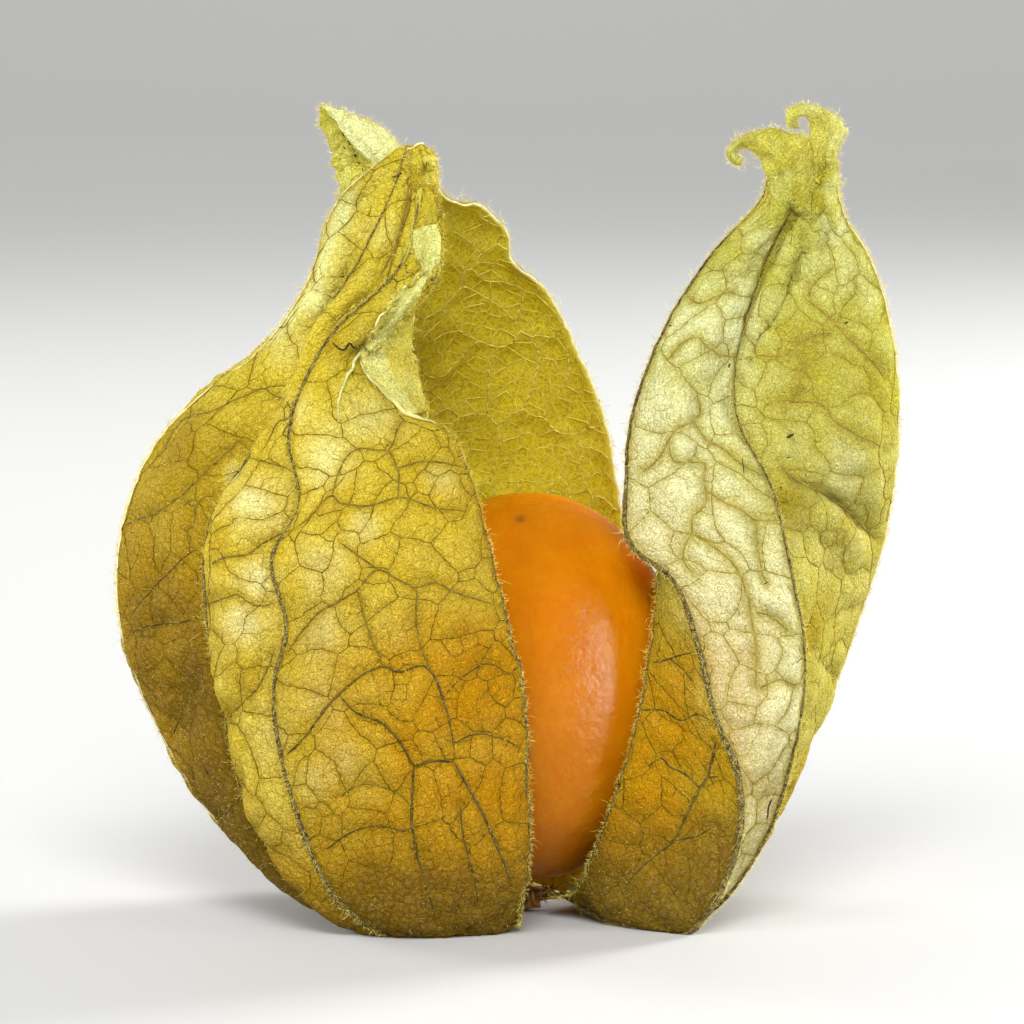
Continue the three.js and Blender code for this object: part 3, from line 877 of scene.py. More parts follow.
# Main veins of each half, each a thickness and places (across, up) in mm from the middle of the
# front view.
LEFT_VEINS = [
    (0.075, [(-11.3, -12.2), (-10.2, -11.1), (-9.2, -9.7), (-8.3, -8.8), (-7.4, -8.1), (-6.4, -7.7),
             (-5.7, -8.0), (-4.4, -7.7), (-3.9, -8.2), (-3.4, -9.6), (-3.0, -11.1), (-2.9, -12.5)]),
    (0.08, [(-2.9, -12.5), (-2.3, -13.6), (-1.5, -15.0), (-1.0, -16.2), (-0.6, -17.1), (0.0, -18.7)]),
    (0.075, [(-2.9, -12.5), (-3.9, -12.4), (-4.9, -12.6), (-5.4, -11.8), (-6.4, -10.6), (-7.8, -10.0),
             (-8.6, -9.2)]),
    (0.08, [(-4.9, -12.6), (-5.0, -14.7), (-4.9, -16.5), (-4.5, -17.9), (-4.0, -19.6), (-3.8, -20.4)]),
    (0.05, [(-8.6, -14.2), (-7.5, -13.6), (-6.3, -13.8), (-5.5, -14.2), (-5.0, -14.8)]),
    (0.065, [(-11.2, -7.1), (-10.5, -6.0), (-9.7, -5.1), (-8.5, -4.4), (-7.7, -3.9), (-6.7, -2.9),
             (-5.7, -3.4), (-4.8, -3.8), (-3.9, -3.5), (-2.9, -4.0), (-0.7, -4.7)]),
    (0.05, [(-6.7, -2.9), (-7.8, -2.1), (-8.6, -1.5)]),
    (0.05, [(-4.8, -3.8), (-4.8, -5.5), (-4.5, -6.9), (-4.2, -7.7)]),
    (0.05, [(-7.7, -3.9), (-7.4, -5.2), (-7.0, -6.4), (-6.4, -7.7)]),
    (0.06, [(-10.7, -0.8), (-10.0, -0.2), (-9.0, 0.8), (-8.5, 0.4), (-7.2, 0.3), (-5.6, 0.7),
            (-3.9, 0.2), (-2.3, 0.0)]),
    (0.055, [(-9.0, 0.8), (-8.6, 2.1), (-7.8, 3.1), (-6.2, 3.1), (-5.7, 4.2), (-5.4, 4.6)]),
    (0.045, [(-6.2, 3.1), (-5.7, 2.0), (-5.7, 0.7)]),
    (0.045, [(-5.7, 2.2), (-4.4, 2.5), (-2.4, 2.2)]),
    (0.04, [(-3.0, -11.6), (-1.9, -11.1), (-0.6, -11.3), (0.4, -11.8)]),
    (0.04, [(-3.5, -9.3), (-2.4, -8.2), (-1.2, -7.6), (0.0, -8.2)]),
    (0.05, [(-9.3, -16.9), (-8.0, -16.0), (-6.6, -15.7), (-5.0, -16.0)]),
    (0.05, [(-2.6, -14.6), (-2.4, -16.4), (-1.9, -18.2), (-1.7, -19.6)]),
    (0.055, [(-17.6, 2.8), (-16.4, 4.6), (-15.0, 5.0), (-13.5, 5.7), (-12.4, 6.2), (-12.0, 5.9),
             (-11.4, 5.6), (-11.1, 5.3), (-11.1, 4.7), (-11.7, 4.5), (-12.0, 3.9), (-12.3, 3.3),
             (-12.7, 2.7)]),
    (0.055, [(-16.6, 0.7), (-15.3, 2.0), (-14.3, 2.9), (-13.7, 3.5), (-13.3, 3.3), (-13.1, 2.8)]),
    (0.06, [(-19.3, -0.7), (-18.8, -0.4), (-17.9, -0.1), (-17.2, 0.3), (-16.6, 0.7), (-16.3, 0.5),
            (-15.8, 0.3), (-15.4, 0.7), (-14.8, 0.8)]),
    (0.05, [(-19.0, -5.0), (-18.5, -4.5), (-17.6, -3.5), (-16.8, -2.7), (-15.8, -1.9), (-15.5, -1.9)]),
    (0.05, [(-19.0, -6.1), (-18.5, -5.8), (-17.4, -5.6), (-16.4, -5.5), (-15.5, -5.2)]),
    (0.045, [(-15.8, 0.3), (-15.9, -0.7), (-16.2, -0.9), (-16.1, -1.8)]),
    (0.06, [(-15.0, -2.6), (-14.4, -2.3), (-13.2, -2.1), (-12.4, -1.5), (-11.6, -1.1), (-11.0, -0.9)]),
    (0.045, [(-12.6, 2.6), (-12.0, 2.4), (-11.2, 2.2)]),
    (0.05, [(-15.3, -4.6), (-14.3, -4.3), (-13.7, -4.1), (-13.3, -4.4), (-12.6, -4.7), (-11.8, -4.5)]),
    (0.06, [(-14.1, -10.3), (-13.2, -9.3), (-12.6, -8.6), (-11.9, -7.0)]),
    (0.045, [(-16.9, -11.1), (-15.9, -9.0), (-15.5, -8.4)]),
    (0.045, [(-14.4, -15.4), (-13.7, -14.4), (-13.4, -13.1)]),
    (0.08, [(-5.1, 17.6), (-5.1, 16.3), (-5.2, 15.1), (-5.6, 13.9), (-6.0, 12.5), (-6.3, 11.5)]),
    (0.06, [(-5.1, 16.3), (-5.4, 14.9), (-5.8, 13.4), (-6.7, 11.6)]),
    (0.07, [(-4.9, 11.9), (-6.3, 11.4), (-7.6, 10.5), (-8.6, 9.7), (-9.2, 8.9)]),
]
RIGHT_VEINS = [
    (0.08, [(10.2, -11.4), (9.8, -13.2), (9.4, -13.8), (8.6, -15.5), (8.1, -16.4), (6.9, -17.4),
            (5.7, -18.7)]),
    (0.06, [(9.4, -13.8), (8.8, -13.2), (7.9, -12.7), (7.5, -12.3), (6.8, -12.7)]),
    (0.055, [(8.1, -16.4), (9.2, -16.2), (10.0, -15.8)]),
    (0.05, [(7.0, -7.5), (7.4, -7.5), (8.3, -7.2), (9.2, -7.0)]),
    (0.045, [(7.9, -7.3), (8.7, -8.0), (9.0, -8.5)]),
    (0.05, [(6.5, -9.9), (7.5, -9.9), (8.5, -10.4), (9.3, -10.1), (10.1, -10.5)]),
    (0.045, [(9.7, -13.3), (10.4, -13.2)]),
    (0.065, [(14.7, 10.6), (16.1, 9.5), (16.8, 8.7), (17.8, 7.7), (18.6, 6.7)]),
    (0.045, [(14.8, 10.7), (15.1, 11.4), (15.8, 12.0), (16.1, 12.2)]),
    (0.045, [(16.1, 9.2), (16.5, 10.2), (17.2, 11.1), (17.1, 11.6)]),
    (0.05, [(6.9, 7.6), (7.9, 7.7), (8.5, 8.4), (9.3, 8.7), (9.7, 8.3), (10.3, 7.9), (11.1, 7.7)]),
    (0.045, [(8.7, 10.8), (9.4, 10.4), (10.3, 10.8), (11.1, 11.0)]),
    (0.05, [(12.3, 7.8), (13.6, 7.8), (14.0, 8.1), (14.6, 7.4), (14.1, 5.8)]),
    (0.045, [(14.0, 8.1), (14.8, 8.7), (16.1, 9.0)]),
    (0.055, [(6.5, 2.0), (7.2, 2.5), (7.9, 3.6), (8.3, 4.2), (9.1, 4.5), (9.4, 5.0), (9.2, 6.0)]),
    (0.055, [(9.1, 4.5), (9.7, 3.6), (10.5, 3.2), (11.3, 2.5), (12.1, 2.0), (12.6, 1.8)]),
    (0.055, [(7.9, 3.6), (8.1, 2.6), (8.9, 2.5), (9.6, 2.4), (9.6, 1.6), (9.7, 0.8), (9.6, 0.3),
             (9.0, -0.3), (9.0, -1.0), (8.6, -1.8), (8.6, -2.5), (9.1, -3.1)]),
    (0.05, [(9.7, 1.1), (10.4, 0.6), (11.2, 0.2), (12.2, -0.4), (13.5, -0.4)]),
    (0.055, [(9.0, -1.1), (9.9, -1.6), (11.0, -2.5), (11.4, -3.1), (11.7, -4.0), (12.0, -5.3),
             (12.2, -6.8), (12.2, -8.7)]),
    (0.045, [(12.2, -0.4), (12.3, -2.1), (12.5, -3.1), (12.8, -3.6)]),
    (0.065, [(13.4, 2.4), (13.8, 1.9), (14.6, 1.4), (15.6, 0.9), (16.5, 0.3), (17.2, -0.4),
             (18.2, -1.4)]),
    (0.05, [(12.4, 4.8), (12.8, 5.4), (13.5, 5.6), (14.6, 5.5), (15.5, 5.4), (16.1, 4.6), (17.0, 4.0),
            (17.8, 3.6), (18.6, 3.2)]),
    (0.045, [(12.1, -5.0), (12.9, -5.2), (13.9, -6.0)]),
    (0.045, [(12.4, -8.8), (13.4, -8.4), (14.2, -8.7)]),
]

# Folds of each half: how high they stand (or sink) in mm, how wide they are, and places as above.
LEFT_FOLDS = [
    (-0.22, 0.3, [(-5.1, 17.6), (-5.1, 16.3), (-5.2, 15.1), (-5.6, 13.9), (-6.0, 12.5), (-6.4, 11.3)]),
    (0.25, 0.3, [(-5.8, 16.6), (-6.1, 15.0), (-6.6, 13.4), (-7.4, 11.8), (-8.6, 10.2)]),
    (-0.3, 0.3, [(-6.9, 15.8), (-7.2, 14.2), (-7.9, 12.6), (-9.0, 10.8), (-9.9, 9.4), (-11.4, 7.6)]),
    (0.25, 0.35, [(-8.2, 14.4), (-8.6, 12.8), (-9.3, 11.0), (-10.4, 9.4)]),
    (-0.3, 0.28, [(-4.9, 11.9), (-6.3, 11.4), (-7.6, 10.5), (-8.6, 9.7), (-9.2, 8.9)]),
    (0.2, 0.5, [(-5.6, 10.6), (-6.8, 9.9), (-8.0, 9.0)]),
    (-0.3, 0.5, [(-14.6, 4.8), (-13.6, 1.0), (-14.4, -2.0)]),
    (0.35, 0.9, [(-13.8, 0.6), (-12.6, -0.6), (-12.0, -1.6)]),
    (-0.3, 0.6, [(-13.9, -3.6), (-13.2, -6.0), (-12.4, -8.6)]),
    (0.3, 0.6, [(-13.6, -5.0), (-12.9, -8.0), (-11.6, -11.4)]),
    (0.25, 1.6, [(-8.2, 2.0), (-8.6, -1.0), (-9.4, -3.0)]),
    (-0.22, 1.0, [(-9.9, -3.2), (-8.6, -2.4), (-6.8, -1.6)]),
    (-0.3, 1.0, [(-18.4, -4.6), (-17.0, -6.6), (-16.2, -9.6)]),
    (0.3, 1.0, [(-17.9, 1.5), (-16.4, -1.5), (-16.3, -3.6)]),
    (-0.35, 0.25, [(-4.7, 17.8), (-4.6, 16.6), (-5.0, 15.0), (-5.2, 13.4), (-5.8, 11.8)]),
    (0.3, 0.3, [(-4.3, 17.2), (-4.2, 15.8), (-4.5, 14.4)]),
    (0.25, 0.3, [(-7.9, 15.4), (-7.2, 16.4), (-6.2, 17.3), (-5.6, 17.7)]),
    (-0.25, 0.25, [(-8.3, 14.6), (-7.4, 15.6), (-6.4, 16.6), (-5.4, 17.3)]),
    (0.25, 0.3, [(-8.6, 13.4), (-8.8, 12.0), (-9.6, 10.8), (-10.8, 9.0)]),
    (0.2, 0.35, [(-6.8, 15.2), (-6.9, 13.6), (-7.6, 12.4)]),
]
LEFT_INSIDE_FOLDS = [
    (0.25, 0.6, [(-5.3, 10.1), (-5.1, 8.5), (-4.4, 6.9), (-4.0, 5.7), (-4.0, 4.7)]),
    (-0.2, 0.6, [(-4.2, 9.6), (-3.8, 7.6), (-3.0, 6.0)]),
    (0.14, 1.2, [(-1.5, 14.6), (0.4, 11.6), (1.4, 9.4)]),
    (0.14, 0.5, [(-3.6, 9.0), (-2.0, 5.0), (-1.4, 1.4)]),
]
RIGHT_FOLDS = [
    (-0.4, 0.26, [(14.1, 16.6), (14.2, 14.9), (13.7, 14.0), (12.8, 12.5), (12.5, 11.5), (12.0, 10.2),
                   (11.5, 9.2), (11.3, 7.9), (11.3, 6.6), (11.1, 5.6)]),
    (-0.5, 0.25, [(14.6, 14.9), (14.1, 12.3), (13.8, 11.3), (13.4, 10.1), (12.8, 9.2), (12.1, 8.4),
                   (11.8, 7.4), (11.5, 5.8)]),
    (0.55, 0.28, [(14.3, 15.3), (13.9, 13.3), (13.2, 11.6), (12.5, 10.2), (11.9, 8.9), (11.6, 7.9),
                 (11.45, 6.6)]),
    (-0.42, 0.26, [(15.0, 14.9), (14.7, 12.8), (14.2, 11.9), (13.7, 10.8)]),
    (0.5, 0.35, [(15.9, 16.6), (15.4, 15.3), (15.0, 13.9), (14.7, 12.9)]),
    (0.3, 0.4, [(10.4, 12.2), (11.5, 13.1), (12.7, 14.5)]),
    (-0.25, 0.5, [(9.6, 11.9), (10.9, 11.6), (12.2, 12.1)]),
    (-0.42, 0.3, [(15.2, 6.0), (14.4, 5.9), (13.8, 5.2), (13.4, 4.5)]),
    (0.42, 0.35, [(12.2, 4.6), (12.8, 4.1), (13.4, 3.5), (13.5, 2.6)]),
    (-0.5, 0.45, [(11.1, 5.6), (10.8, 4.6), (11.7, 3.6), (12.5, 2.3), (13.3, 0.8), (13.7, -0.2)]),
    (0.35, 0.7, [(10.2, 6.4), (10.0, 4.6), (11.0, 3.3), (12.0, 1.8), (12.8, 0.2)]),
    (-0.42, 0.4, [(13.4, 2.4), (13.8, 1.9), (14.6, 1.4), (15.6, 0.9), (16.5, 0.3), (17.2, -0.4),
                 (18.3, -1.4)]),
    (0.3, 0.8, [(13.6, 5.6), (15.5, 5.5), (16.1, 4.8), (17.0, 4.2), (17.8, 3.8), (18.7, 3.4)]),
    (0.3, 0.8, [(14.4, 0.2), (15.6, -0.4), (16.6, -1.4), (17.2, -2.8)]),
    (0.3, 0.5, [(12.8, -3.6), (13.5, -4.6), (14.2, -5.5), (14.5, -6.8)]),
    (-0.3, 0.5, [(12.1, -4.0), (12.9, -5.3), (13.4, -6.8)]),
    (0.35, 0.7, [(11.0, 0.6), (11.2, -1.4), (11.8, -3.4)]),
    (-0.3, 0.6, [(11.4, -4.4), (12.0, -7.2), (12.4, -9.8), (11.9, -12.6)]),
    (-0.3, 0.5, [(14.7, -7.1), (15.5, -7.7), (16.0, -8.7)]),
    (0.25, 0.4, [(8.6, 5.4), (8.2, 3.6), (8.8, 1.8)]),
    (-0.4, 0.26, [(15.1, 17.2), (14.7, 16.0), (14.1, 14.8), (13.3, 13.4), (12.6, 12.6)]),
    (0.3, 0.3, [(14.3, 16.9), (13.7, 15.6), (12.8, 14.2)]),
    (-0.25, 0.3, [(13.6, 16.4), (12.8, 15.2), (11.6, 13.8), (10.6, 13.2)]),
    (0.35, 0.3, [(15.7, 17.0), (15.3, 15.4), (14.9, 13.9), (14.5, 12.4)]),
    (-0.2, 0.25, [(16.0, 16.8), (15.8, 15.4), (15.6, 14.2)]),
]

# Paler and browner patches of each half, which paint in highlights and shade: how much paler (or,
# below 0, browner), how far each reaches in mm, and its place as above.
LEFT_TINTS = [(1.0, 1.1, (-12.8, 0.4)), (0.8, 0.9, (-12.5, -3.4)), (0.7, 0.8, (-13.4, -5.6)),
              (0.7, 1.4, (-9.2, 2.6)), (0.5, 1.6, (-6.8, 4.4)), (0.4, 1.5, (-9.4, -2.4)),
              (0.4, 1.6, (-9.6, -6.0)), (0.3, 1.4, (-9.4, -9.6)), (0.3, 1.1, (-8.2, -12.4)),
              (1.0, 0.8, (-11.5, 8.9)), (1.2, 0.8, (-10.7, 9.8)), (1.3, 0.8, (-10.0, 10.7)),
              (1.4, 0.8, (-9.5, 11.7)), (1.3, 0.75, (-9.1, 12.7)), (1.0, 0.7, (-8.9, 13.7)),
              (0.8, 0.7, (-8.6, 14.7)), (0.7, 0.65, (-8.2, 15.7)), (-0.3, 0.7, (-9.0, 8.2)),
              (0.4, 0.9, (-6.6, 14.0)), (0.4, 1.0, (-10.8, 8.0)), (0.5, 0.8, (-10.6, 5.0)),
              (-0.35, 3.0, (-17.0, -7.0)), (-0.3, 2.0, (-4.2, -18.0)), (-0.3, 1.4, (-1.8, -13.4)),
              (-0.3, 1.0, (-6.6, -15.6)), (-0.7, 2.4, (-14.6, -12.2)), (-0.15, 1.6, (-15.6, 3.6)),
              (0.9, 0.6, (-13.8, 1.8)), (0.4, 0.6, (-11.8, -0.6)), (0.5, 0.8, (-7.4, -0.8)),
              (-0.25, 0.8, (-14.6, -1.6)), (-0.2, 1.0, (-8.8, -0.2)), (-0.2, 0.9, (-13.4, -8.4)),
              (0.5, 0.7, (-11.6, -11.2)), (0.35, 0.9, (-10.0, -13.4)), (0.4, 0.8, (-3.6, 1.6)),
              (-0.25, 1.0, (-1.2, -16.6)), (-0.5, 0.7, (-3.8, -14.0)), (-0.5, 0.6, (-5.6, -11.6)),
              (-0.5, 0.8, (-6.8, -18.2)), (-0.4, 0.8, (-2.6, -18.6)), (-0.3, 0.6, (-2.6, -6.0))]
RIGHT_TINTS = [(1.0, 2.8, (7.4, 5.2)), (1.0, 2.6, (7.8, 0.6)), (0.8, 2.2, (10.2, -4.6)),
               (0.5, 1.8, (10.6, -8.2)), (1.0, 2.2, (9.8, 8.6)), (1.0, 1.0, (16.1, 14.4)),
               (0.6, 1.0, (12.4, 13.4)), (0.5, 1.2, (17.2, 11.6)), (0.7, 1.2, (11.4, 10.8)),
               (0.3, 1.6, (15.0, 11.4)), (0.5, 1.4, (16.6, 1.8)), (-0.2, 1.6, (13.4, 0.4)),
               (-0.3, 1.8, (14.4, 7.4)), (-0.25, 1.4, (17.4, 6.4)), (-0.35, 2.2, (14.8, -5.4)),
               (-0.15, 2.0, (16.0, -1.0)), (-0.35, 1.4, (12.4, -13.4)), (-1.0, 2.4, (7.2, -16.4)),
               (-0.2, 1.0, (12.6, 11.6)), (-0.25, 2.0, (8.0, -13.6)), (-0.6, 0.7, (9.0, -15.4)),
               (-0.6, 0.6, (10.4, -17.4)), (-0.6, 0.6, (7.6, -17.8)), (0.5, 0.6, (7.2, -10.6)),
               (0.4, 0.6, (6.2, -13.6)), (-0.3, 0.6, (9.4, 6.6)), (-0.3, 0.5, (8.6, -0.6)),
               (-0.25, 0.6, (10.4, 2.6)), (-0.3, 0.6, (11.6, -9.0))]


def surface_tree(panels):
    """The panels' faces, ready for finding places on them."""
    places, faces, start = [], [], 0
    for panel in panels:
        rows, columns = panel.net.shape[:2]
        index = np.arange(rows * columns).reshape(rows, columns) + start
        start += rows * columns
        places.append(panel.net.reshape(-1, 3))
        faces.append(np.stack([index[:-1, :-1], index[1:, :-1], index[1:, 1:], index[:-1, 1:]],
                              axis=-1).reshape(-1, 4))
    return BVHTree.FromPolygons([Vector(p) for p in np.vstack(places)], np.vstack(faces).tolist())


def ways_seen(points):
    """The ways from the eye to places (across, up) in the front view."""
    points = np.asarray(points, float)
    return VIEW_MIDDLE + points[:, :1] * [1, 0, 0] + points[:, 1:] * view_up - EYE


def in_view(points, depths):
    """Places seen at (across, up) from the middle of the front view, at depths in y along them."""
    depth = ease(depths, np.linspace(0, 1, len(points)))
    way = ways_seen(points)
    return EYE + way * ((depth - EYE[1]) / way[:, 1])[:, None]


def seen_at(tree, point, inside=False):
    """The place on the surface at (across, up) in the front view, or None."""
    way = Vector(ways_seen([point])[0])
    start = Vector(EYE)
    place, out, _, _ = tree.ray_cast(start, way)
    while inside and place is not None and out.dot(start - place) > 0:
        place, out, _, _ = tree.ray_cast(place + way.normalized() * 0.05, way)
    return place


def laid_on(tree, points, count, inside=False):
    """A smooth line over the surface through points given in the front view."""
    hits = [place[:] for place in (seen_at(tree, point, inside) for point in points) if place]
    if len(hits) < 2:
        return None
    line = even_line(hits, count)
    places, outs = [], []
    for p in line:
        place, out, _, _ = tree.find_nearest(Vector(p))
        places.append(place[:])
        outs.append(out[:])
    return np.array(places), np.array(outs)


def panel_branches(panel, seed, every=6.0):
    """Side veins that climb from both ribs of a panel to its middle, as lines of places."""
    rng = random.Random(seed)
    lines = []
    top = panel.length[-1]
    y = 3.0
    side = 0
    while y < top * 0.8:
        wide = float(np.interp(y, panel.length, panel.width))
        if wide > 3:
            rise = wide * rng.uniform(0.35, 0.6)
            start, stop = (0.0, rng.uniform(0.45, 0.7)) if side else (1.0, rng.uniform(0.3, 0.55))
            t = np.linspace(0, 1, 7)
            s = start + (stop - start) * t + 0.02 * np.array([rng.uniform(-1, 1) for _ in t])
            ys = y + rise * t ** 0.8 + 0.25 * np.array([rng.uniform(-1, 1) for _ in t])
            v = np.interp(ys, panel.length, np.linspace(0, 1, panel.rows + 1))
            s, v = even_line(np.stack([s, v], axis=1), 20).T
            lines.append(panel.at(s, v))
        y += every * rng.uniform(0.35, 0.75)
        side = 1 - side
    return lines


def spots_tree(groups):
    """All the places of some lines, ready for measuring how far off they are."""
    spots = np.vstack([np.asarray(group).reshape(-1, 3) for group in groups])
    tree = KDTree(len(spots))
    for i, spot in enumerate(spots):
        tree.insert(spot, i)
    tree.balance()
    return tree


def gap_to(tree, panel):
    """How far each place of a panel is from the nearest of the tree's."""
    flat = panel.net.reshape(-1, 3)
    return np.array([tree.find(p)[2] for p in flat]).reshape(panel.net.shape[:2])


def fold_panels(panels, folds, inside=False):
    """Presses the folds into the panels, each fading at its ends."""
    tree = surface_tree(panels)
    for height, width, points in folds:
        laid = laid_on(tree, points, 60, inside)
        if laid is None:
            continue
        for panel in panels:
            gap, along = near_line(panel, laid[0])
            fade = np.clip(np.minimum(along, 1 - along) * 6, 0, 1)
            lean = 0.25 + 0.75 * panel.edge_fade
            panel.push(height * bell(gap, width) * fade * lean)


# How thick a hair of the felt and of the fringe is at its middle, in mm.
FELT_RADIUS = 0.009
FRINGE_RADIUS = 0.01


def felt(parts, panel, density, length, seed):
    """Short hairs all over a panel: the density for each square mm, and their usual length in mm."""
    rng = np.random.default_rng(seed)
    area = panel.width.mean() * panel.length[-1]
    count = int(area * density)
    v = rng.uniform(0.01, 0.99, count * 4)
    keep = rng.uniform(0, panel.width.max(), len(v)) < np.interp(
        v, np.linspace(0, 1, panel.rows + 1), panel.width)
    v = v[keep][:count]
    s = rng.uniform(0, 1, len(v))
    roots, outs = panel.at(s, v)
    lengths = rng.gamma(4.0, length / 4, len(v))
    add_strands(parts, *spikes(roots, outs, lengths, FELT_RADIUS, 0.6, seed))


def fringe(parts, path, out, size, density, length, seed, splay=0.75, scatter=0.0):
    """Hairs that stand out all round a rib, an edge or a vein: the density for each mm of it."""
    rng = np.random.default_rng(seed)
    reach = np.linalg.norm(np.diff(path, axis=0), axis=1).sum()
    count = int(reach * density)
    if count < 2:
        return
    at = rng.uniform(0.5, len(path) - 1.5, count)
    i = at.astype(int)
    f = (at - i)[:, None]
    roots = path[i] * (1 - f) + path[i + 1] * f
    outs = unit(out[i] + rng.normal(0, splay, (count, 3)))
    roots = roots + outs * size * 0.7 + rng.normal(0, 1, (count, 3)) * scatter
    lengths = rng.gamma(4.0, length / 4, count)
    add_strands(parts, *spikes(roots, outs, lengths, FRINGE_RADIUS, 0.35, seed))


def spikes(roots, outs, lengths, radius, lean, seed):
    """Hairs as thin closed spikes: lines, radii and ups ready for strands."""
    rng = np.random.default_rng(seed)
    way = unit(outs + rng.normal(0, lean, outs.shape))
    curl = unit(np.cross(way, rng.normal(0, 1, outs.shape))) * rng.normal(0, 0.12, (len(outs), 1))
    lines = np.stack([roots - outs * 0.03, roots + way * lengths[:, None] * 0.45,
                      roots + (way + curl * 2.6) * lengths[:, None]], axis=1)
    thick = np.tile([0.0, radius, 0.0], (len(outs), 1))
    ups = np.repeat(unit(np.cross(way, rng.normal(0, 1, outs.shape)))[:, None], 3, axis=1)
    return lines, thick, ups


def rib_path(panels, k):
    """The line of rib k over the finished panels, with the way out along it."""
    panel = panels[min(k, len(panels) - 1)]
    column = 0 if k < len(panels) else -1
    out = panel.out[:, column].copy()
    if 0 < k < len(panels):
        out = unit(out + panels[k - 1].out[:, -1])
    return panel.net[:, column], out


def deepened(brown, glow):
    """How deep in colour the husk is, where it is browned and painted in shade, and where the berry's
    painted glow shines through.
    """
    return np.maximum(brown, 0.8 * glow)


class Half:
    """What makes one half of the husk its own: its folds, veins, ribs and materials.

    Panels and ribs are numbered in the plan's order. The hidden panels get plain side veins, and the
    ones with their inside seen get every vein on the inside too. The front ribs are hairier, and the
    pale edges are the outline ribs and the left half's back tear, given painted rim light. The tones
    say how much browner (or, below 0, paler) each panel is, and on the panels in view they paint
    shade and light.
    """

    def __init__(self, label, slot, panels, seed, folds, inside_folds, veins, tints, rib_sizes,
                 pale_edges, front_ribs, hidden, inside_seen, tones, outside, vein, fine_vein,
                 finest_vein):
        self.label, self.slot, self.panels, self.seed = label, slot, panels, seed
        self.rib_sizes, self.pale_edges, self.front_ribs = rib_sizes, pale_edges, front_ribs
        self.hidden, self.inside_seen, self.tones, self.tints = hidden, inside_seen, tones, tints
        self.outside, self.vein = outside, vein
        self.fine_vein, self.finest_vein = fine_vein, finest_vein
        fold_panels(panels, folds)
        fold_panels(panels, inside_folds, inside=True)
        self.nets = [vein_net(panel, VEIN_CELL, VEIN_GROUP, seed * 31 + k)
                     for k, panel in enumerate(panels)]
        tree = surface_tree(panels)
        laid = [(size, laid_on(tree, points, 40)) for size, points in veins]
        self.laid = [(size, *line) for size, line in laid if line is not None]
        self.outer_count = len(self.laid)
        for k in hidden:
            self.laid += [(0.06, *line) for line in panel_branches(panels[k], seed * 13 + k)]
        self.puff_out()

    def net_lines(self, k, main, steps=5):
        """The main or the slight lines of panel k's net, with the way out along each."""
        places, outs = vein_lines(self.panels[k], self.nets[k], steps, 0.03, self.seed * 7 + k)
        chosen = self.nets[k][4] if main else ~self.nets[k][4]
        return places[chosen], outs[chosen]

    def browned_edges(self, k, main):
        """Which edges of panel k's net lie where the husk is deep in tone: browned, painted in shade or
        given the berry's painted glow.
        """
        s0, v0, s1, v1, is_main = self.nets[k]
        row = ((v0 + v1) / 2 * self.panels[k].rows).astype(int)
        column = ((s0 + s1) / 2 * self.panels[k].columns).astype(int)
        deep = deepened(self.brown[k], self.glow[k])[row, column] > 0.42
        return deep[is_main if main else ~is_main]

    def is_browned(self, line):
        """Whether the middle of a line of places lies where the husk is deep in tone: browned, painted
        in shade or given the berry's painted glow.
        """
        middle = line[len(line) // 2]
        spots = [(np.linalg.norm(panel.net - middle, axis=2), deepened(brown, glow))
                 for panel, brown, glow in zip(self.panels, self.brown, self.glow)]
        gaps, deep = min(spots, key=lambda spot: spot[0].min())
        return deep.ravel()[gaps.argmin()] > 0.45

    def puff_out(self):
        """Lifts the sheet between its veins, and notes what its material needs to know."""
        main = [self.net_lines(k, True)[0] for k in range(len(self.panels))]
        slight = [self.net_lines(k, False)[0] for k in range(len(self.panels))]
        ribs = [rib_path(self.panels, k)[0] for k in range(len(self.panels) + 1)]
        laid = [places for _, places, _ in self.laid]
        strong_tree = spots_tree(laid + ribs)
        main_tree = spots_tree(main + laid + ribs)
        slight_tree = spots_tree(slight)
        self.near_vein, self.halo, self.glow, self.brown, self.bleach_and_highlight = [], [], [], [], []
        whole = surface_tree(self.panels)
        tints = [(amount, reach, seen_at(whole, point)) for amount, reach, point in self.tints]
        tints = [(amount, reach, np.array(place)) for amount, reach, place in tints if place]
        for k, panel in enumerate(self.panels):
            strong, far, little = (gap_to(t, panel) for t in (strong_tree, main_tree, slight_tree))
            rise = (0.18 * (1 - bell(strong, 0.8)) + 0.18 * (1 - bell(far, 0.42))
                    + 0.06 * (1 - bell(little, 0.22)))
            panel.push(rise * np.clip(panel.width / 4, 0, 1)[:, None])
            self.near_vein.append(np.maximum(bell(strong, 0.2), 0.5 * bell(far, 0.15)))
            self.halo.append(np.maximum(bell(strong, 0.38), 0.6 * bell(far, 0.24)))
            self.glow.append(self.berry_glow(panel.net))
            brown, bleach_and_highlight = self.browning(panel.net, self.tones[k], tints)
            self.brown.append(brown)
            self.bleach_and_highlight.append(bleach_and_highlight)

    def berry_glow(self, net):
        """How much painted glow of the berry each place gets where it shines through: most beside it,
        and in a soft cloud.
        """
        gap = np.linalg.norm((net - BERRY_MIDDLE) / (BERRY_SIZE / 2), axis=2)
        cloud = 0.5 + 0.5 * ripple(net, 2.5, self.seed + 40)
        below_top = np.clip((18 - net[..., 2]) / 4, 0.25, 1)
        above_foot = np.clip((net[..., 2] - 1.5) / 5.5, 0.1, 1)
        beside = np.clip((1.95 - gap) / 0.5, 0, 1) * np.clip(0.55 + 0.6 * cloud, 0, 1)
        return beside * (below_top * above_foot)

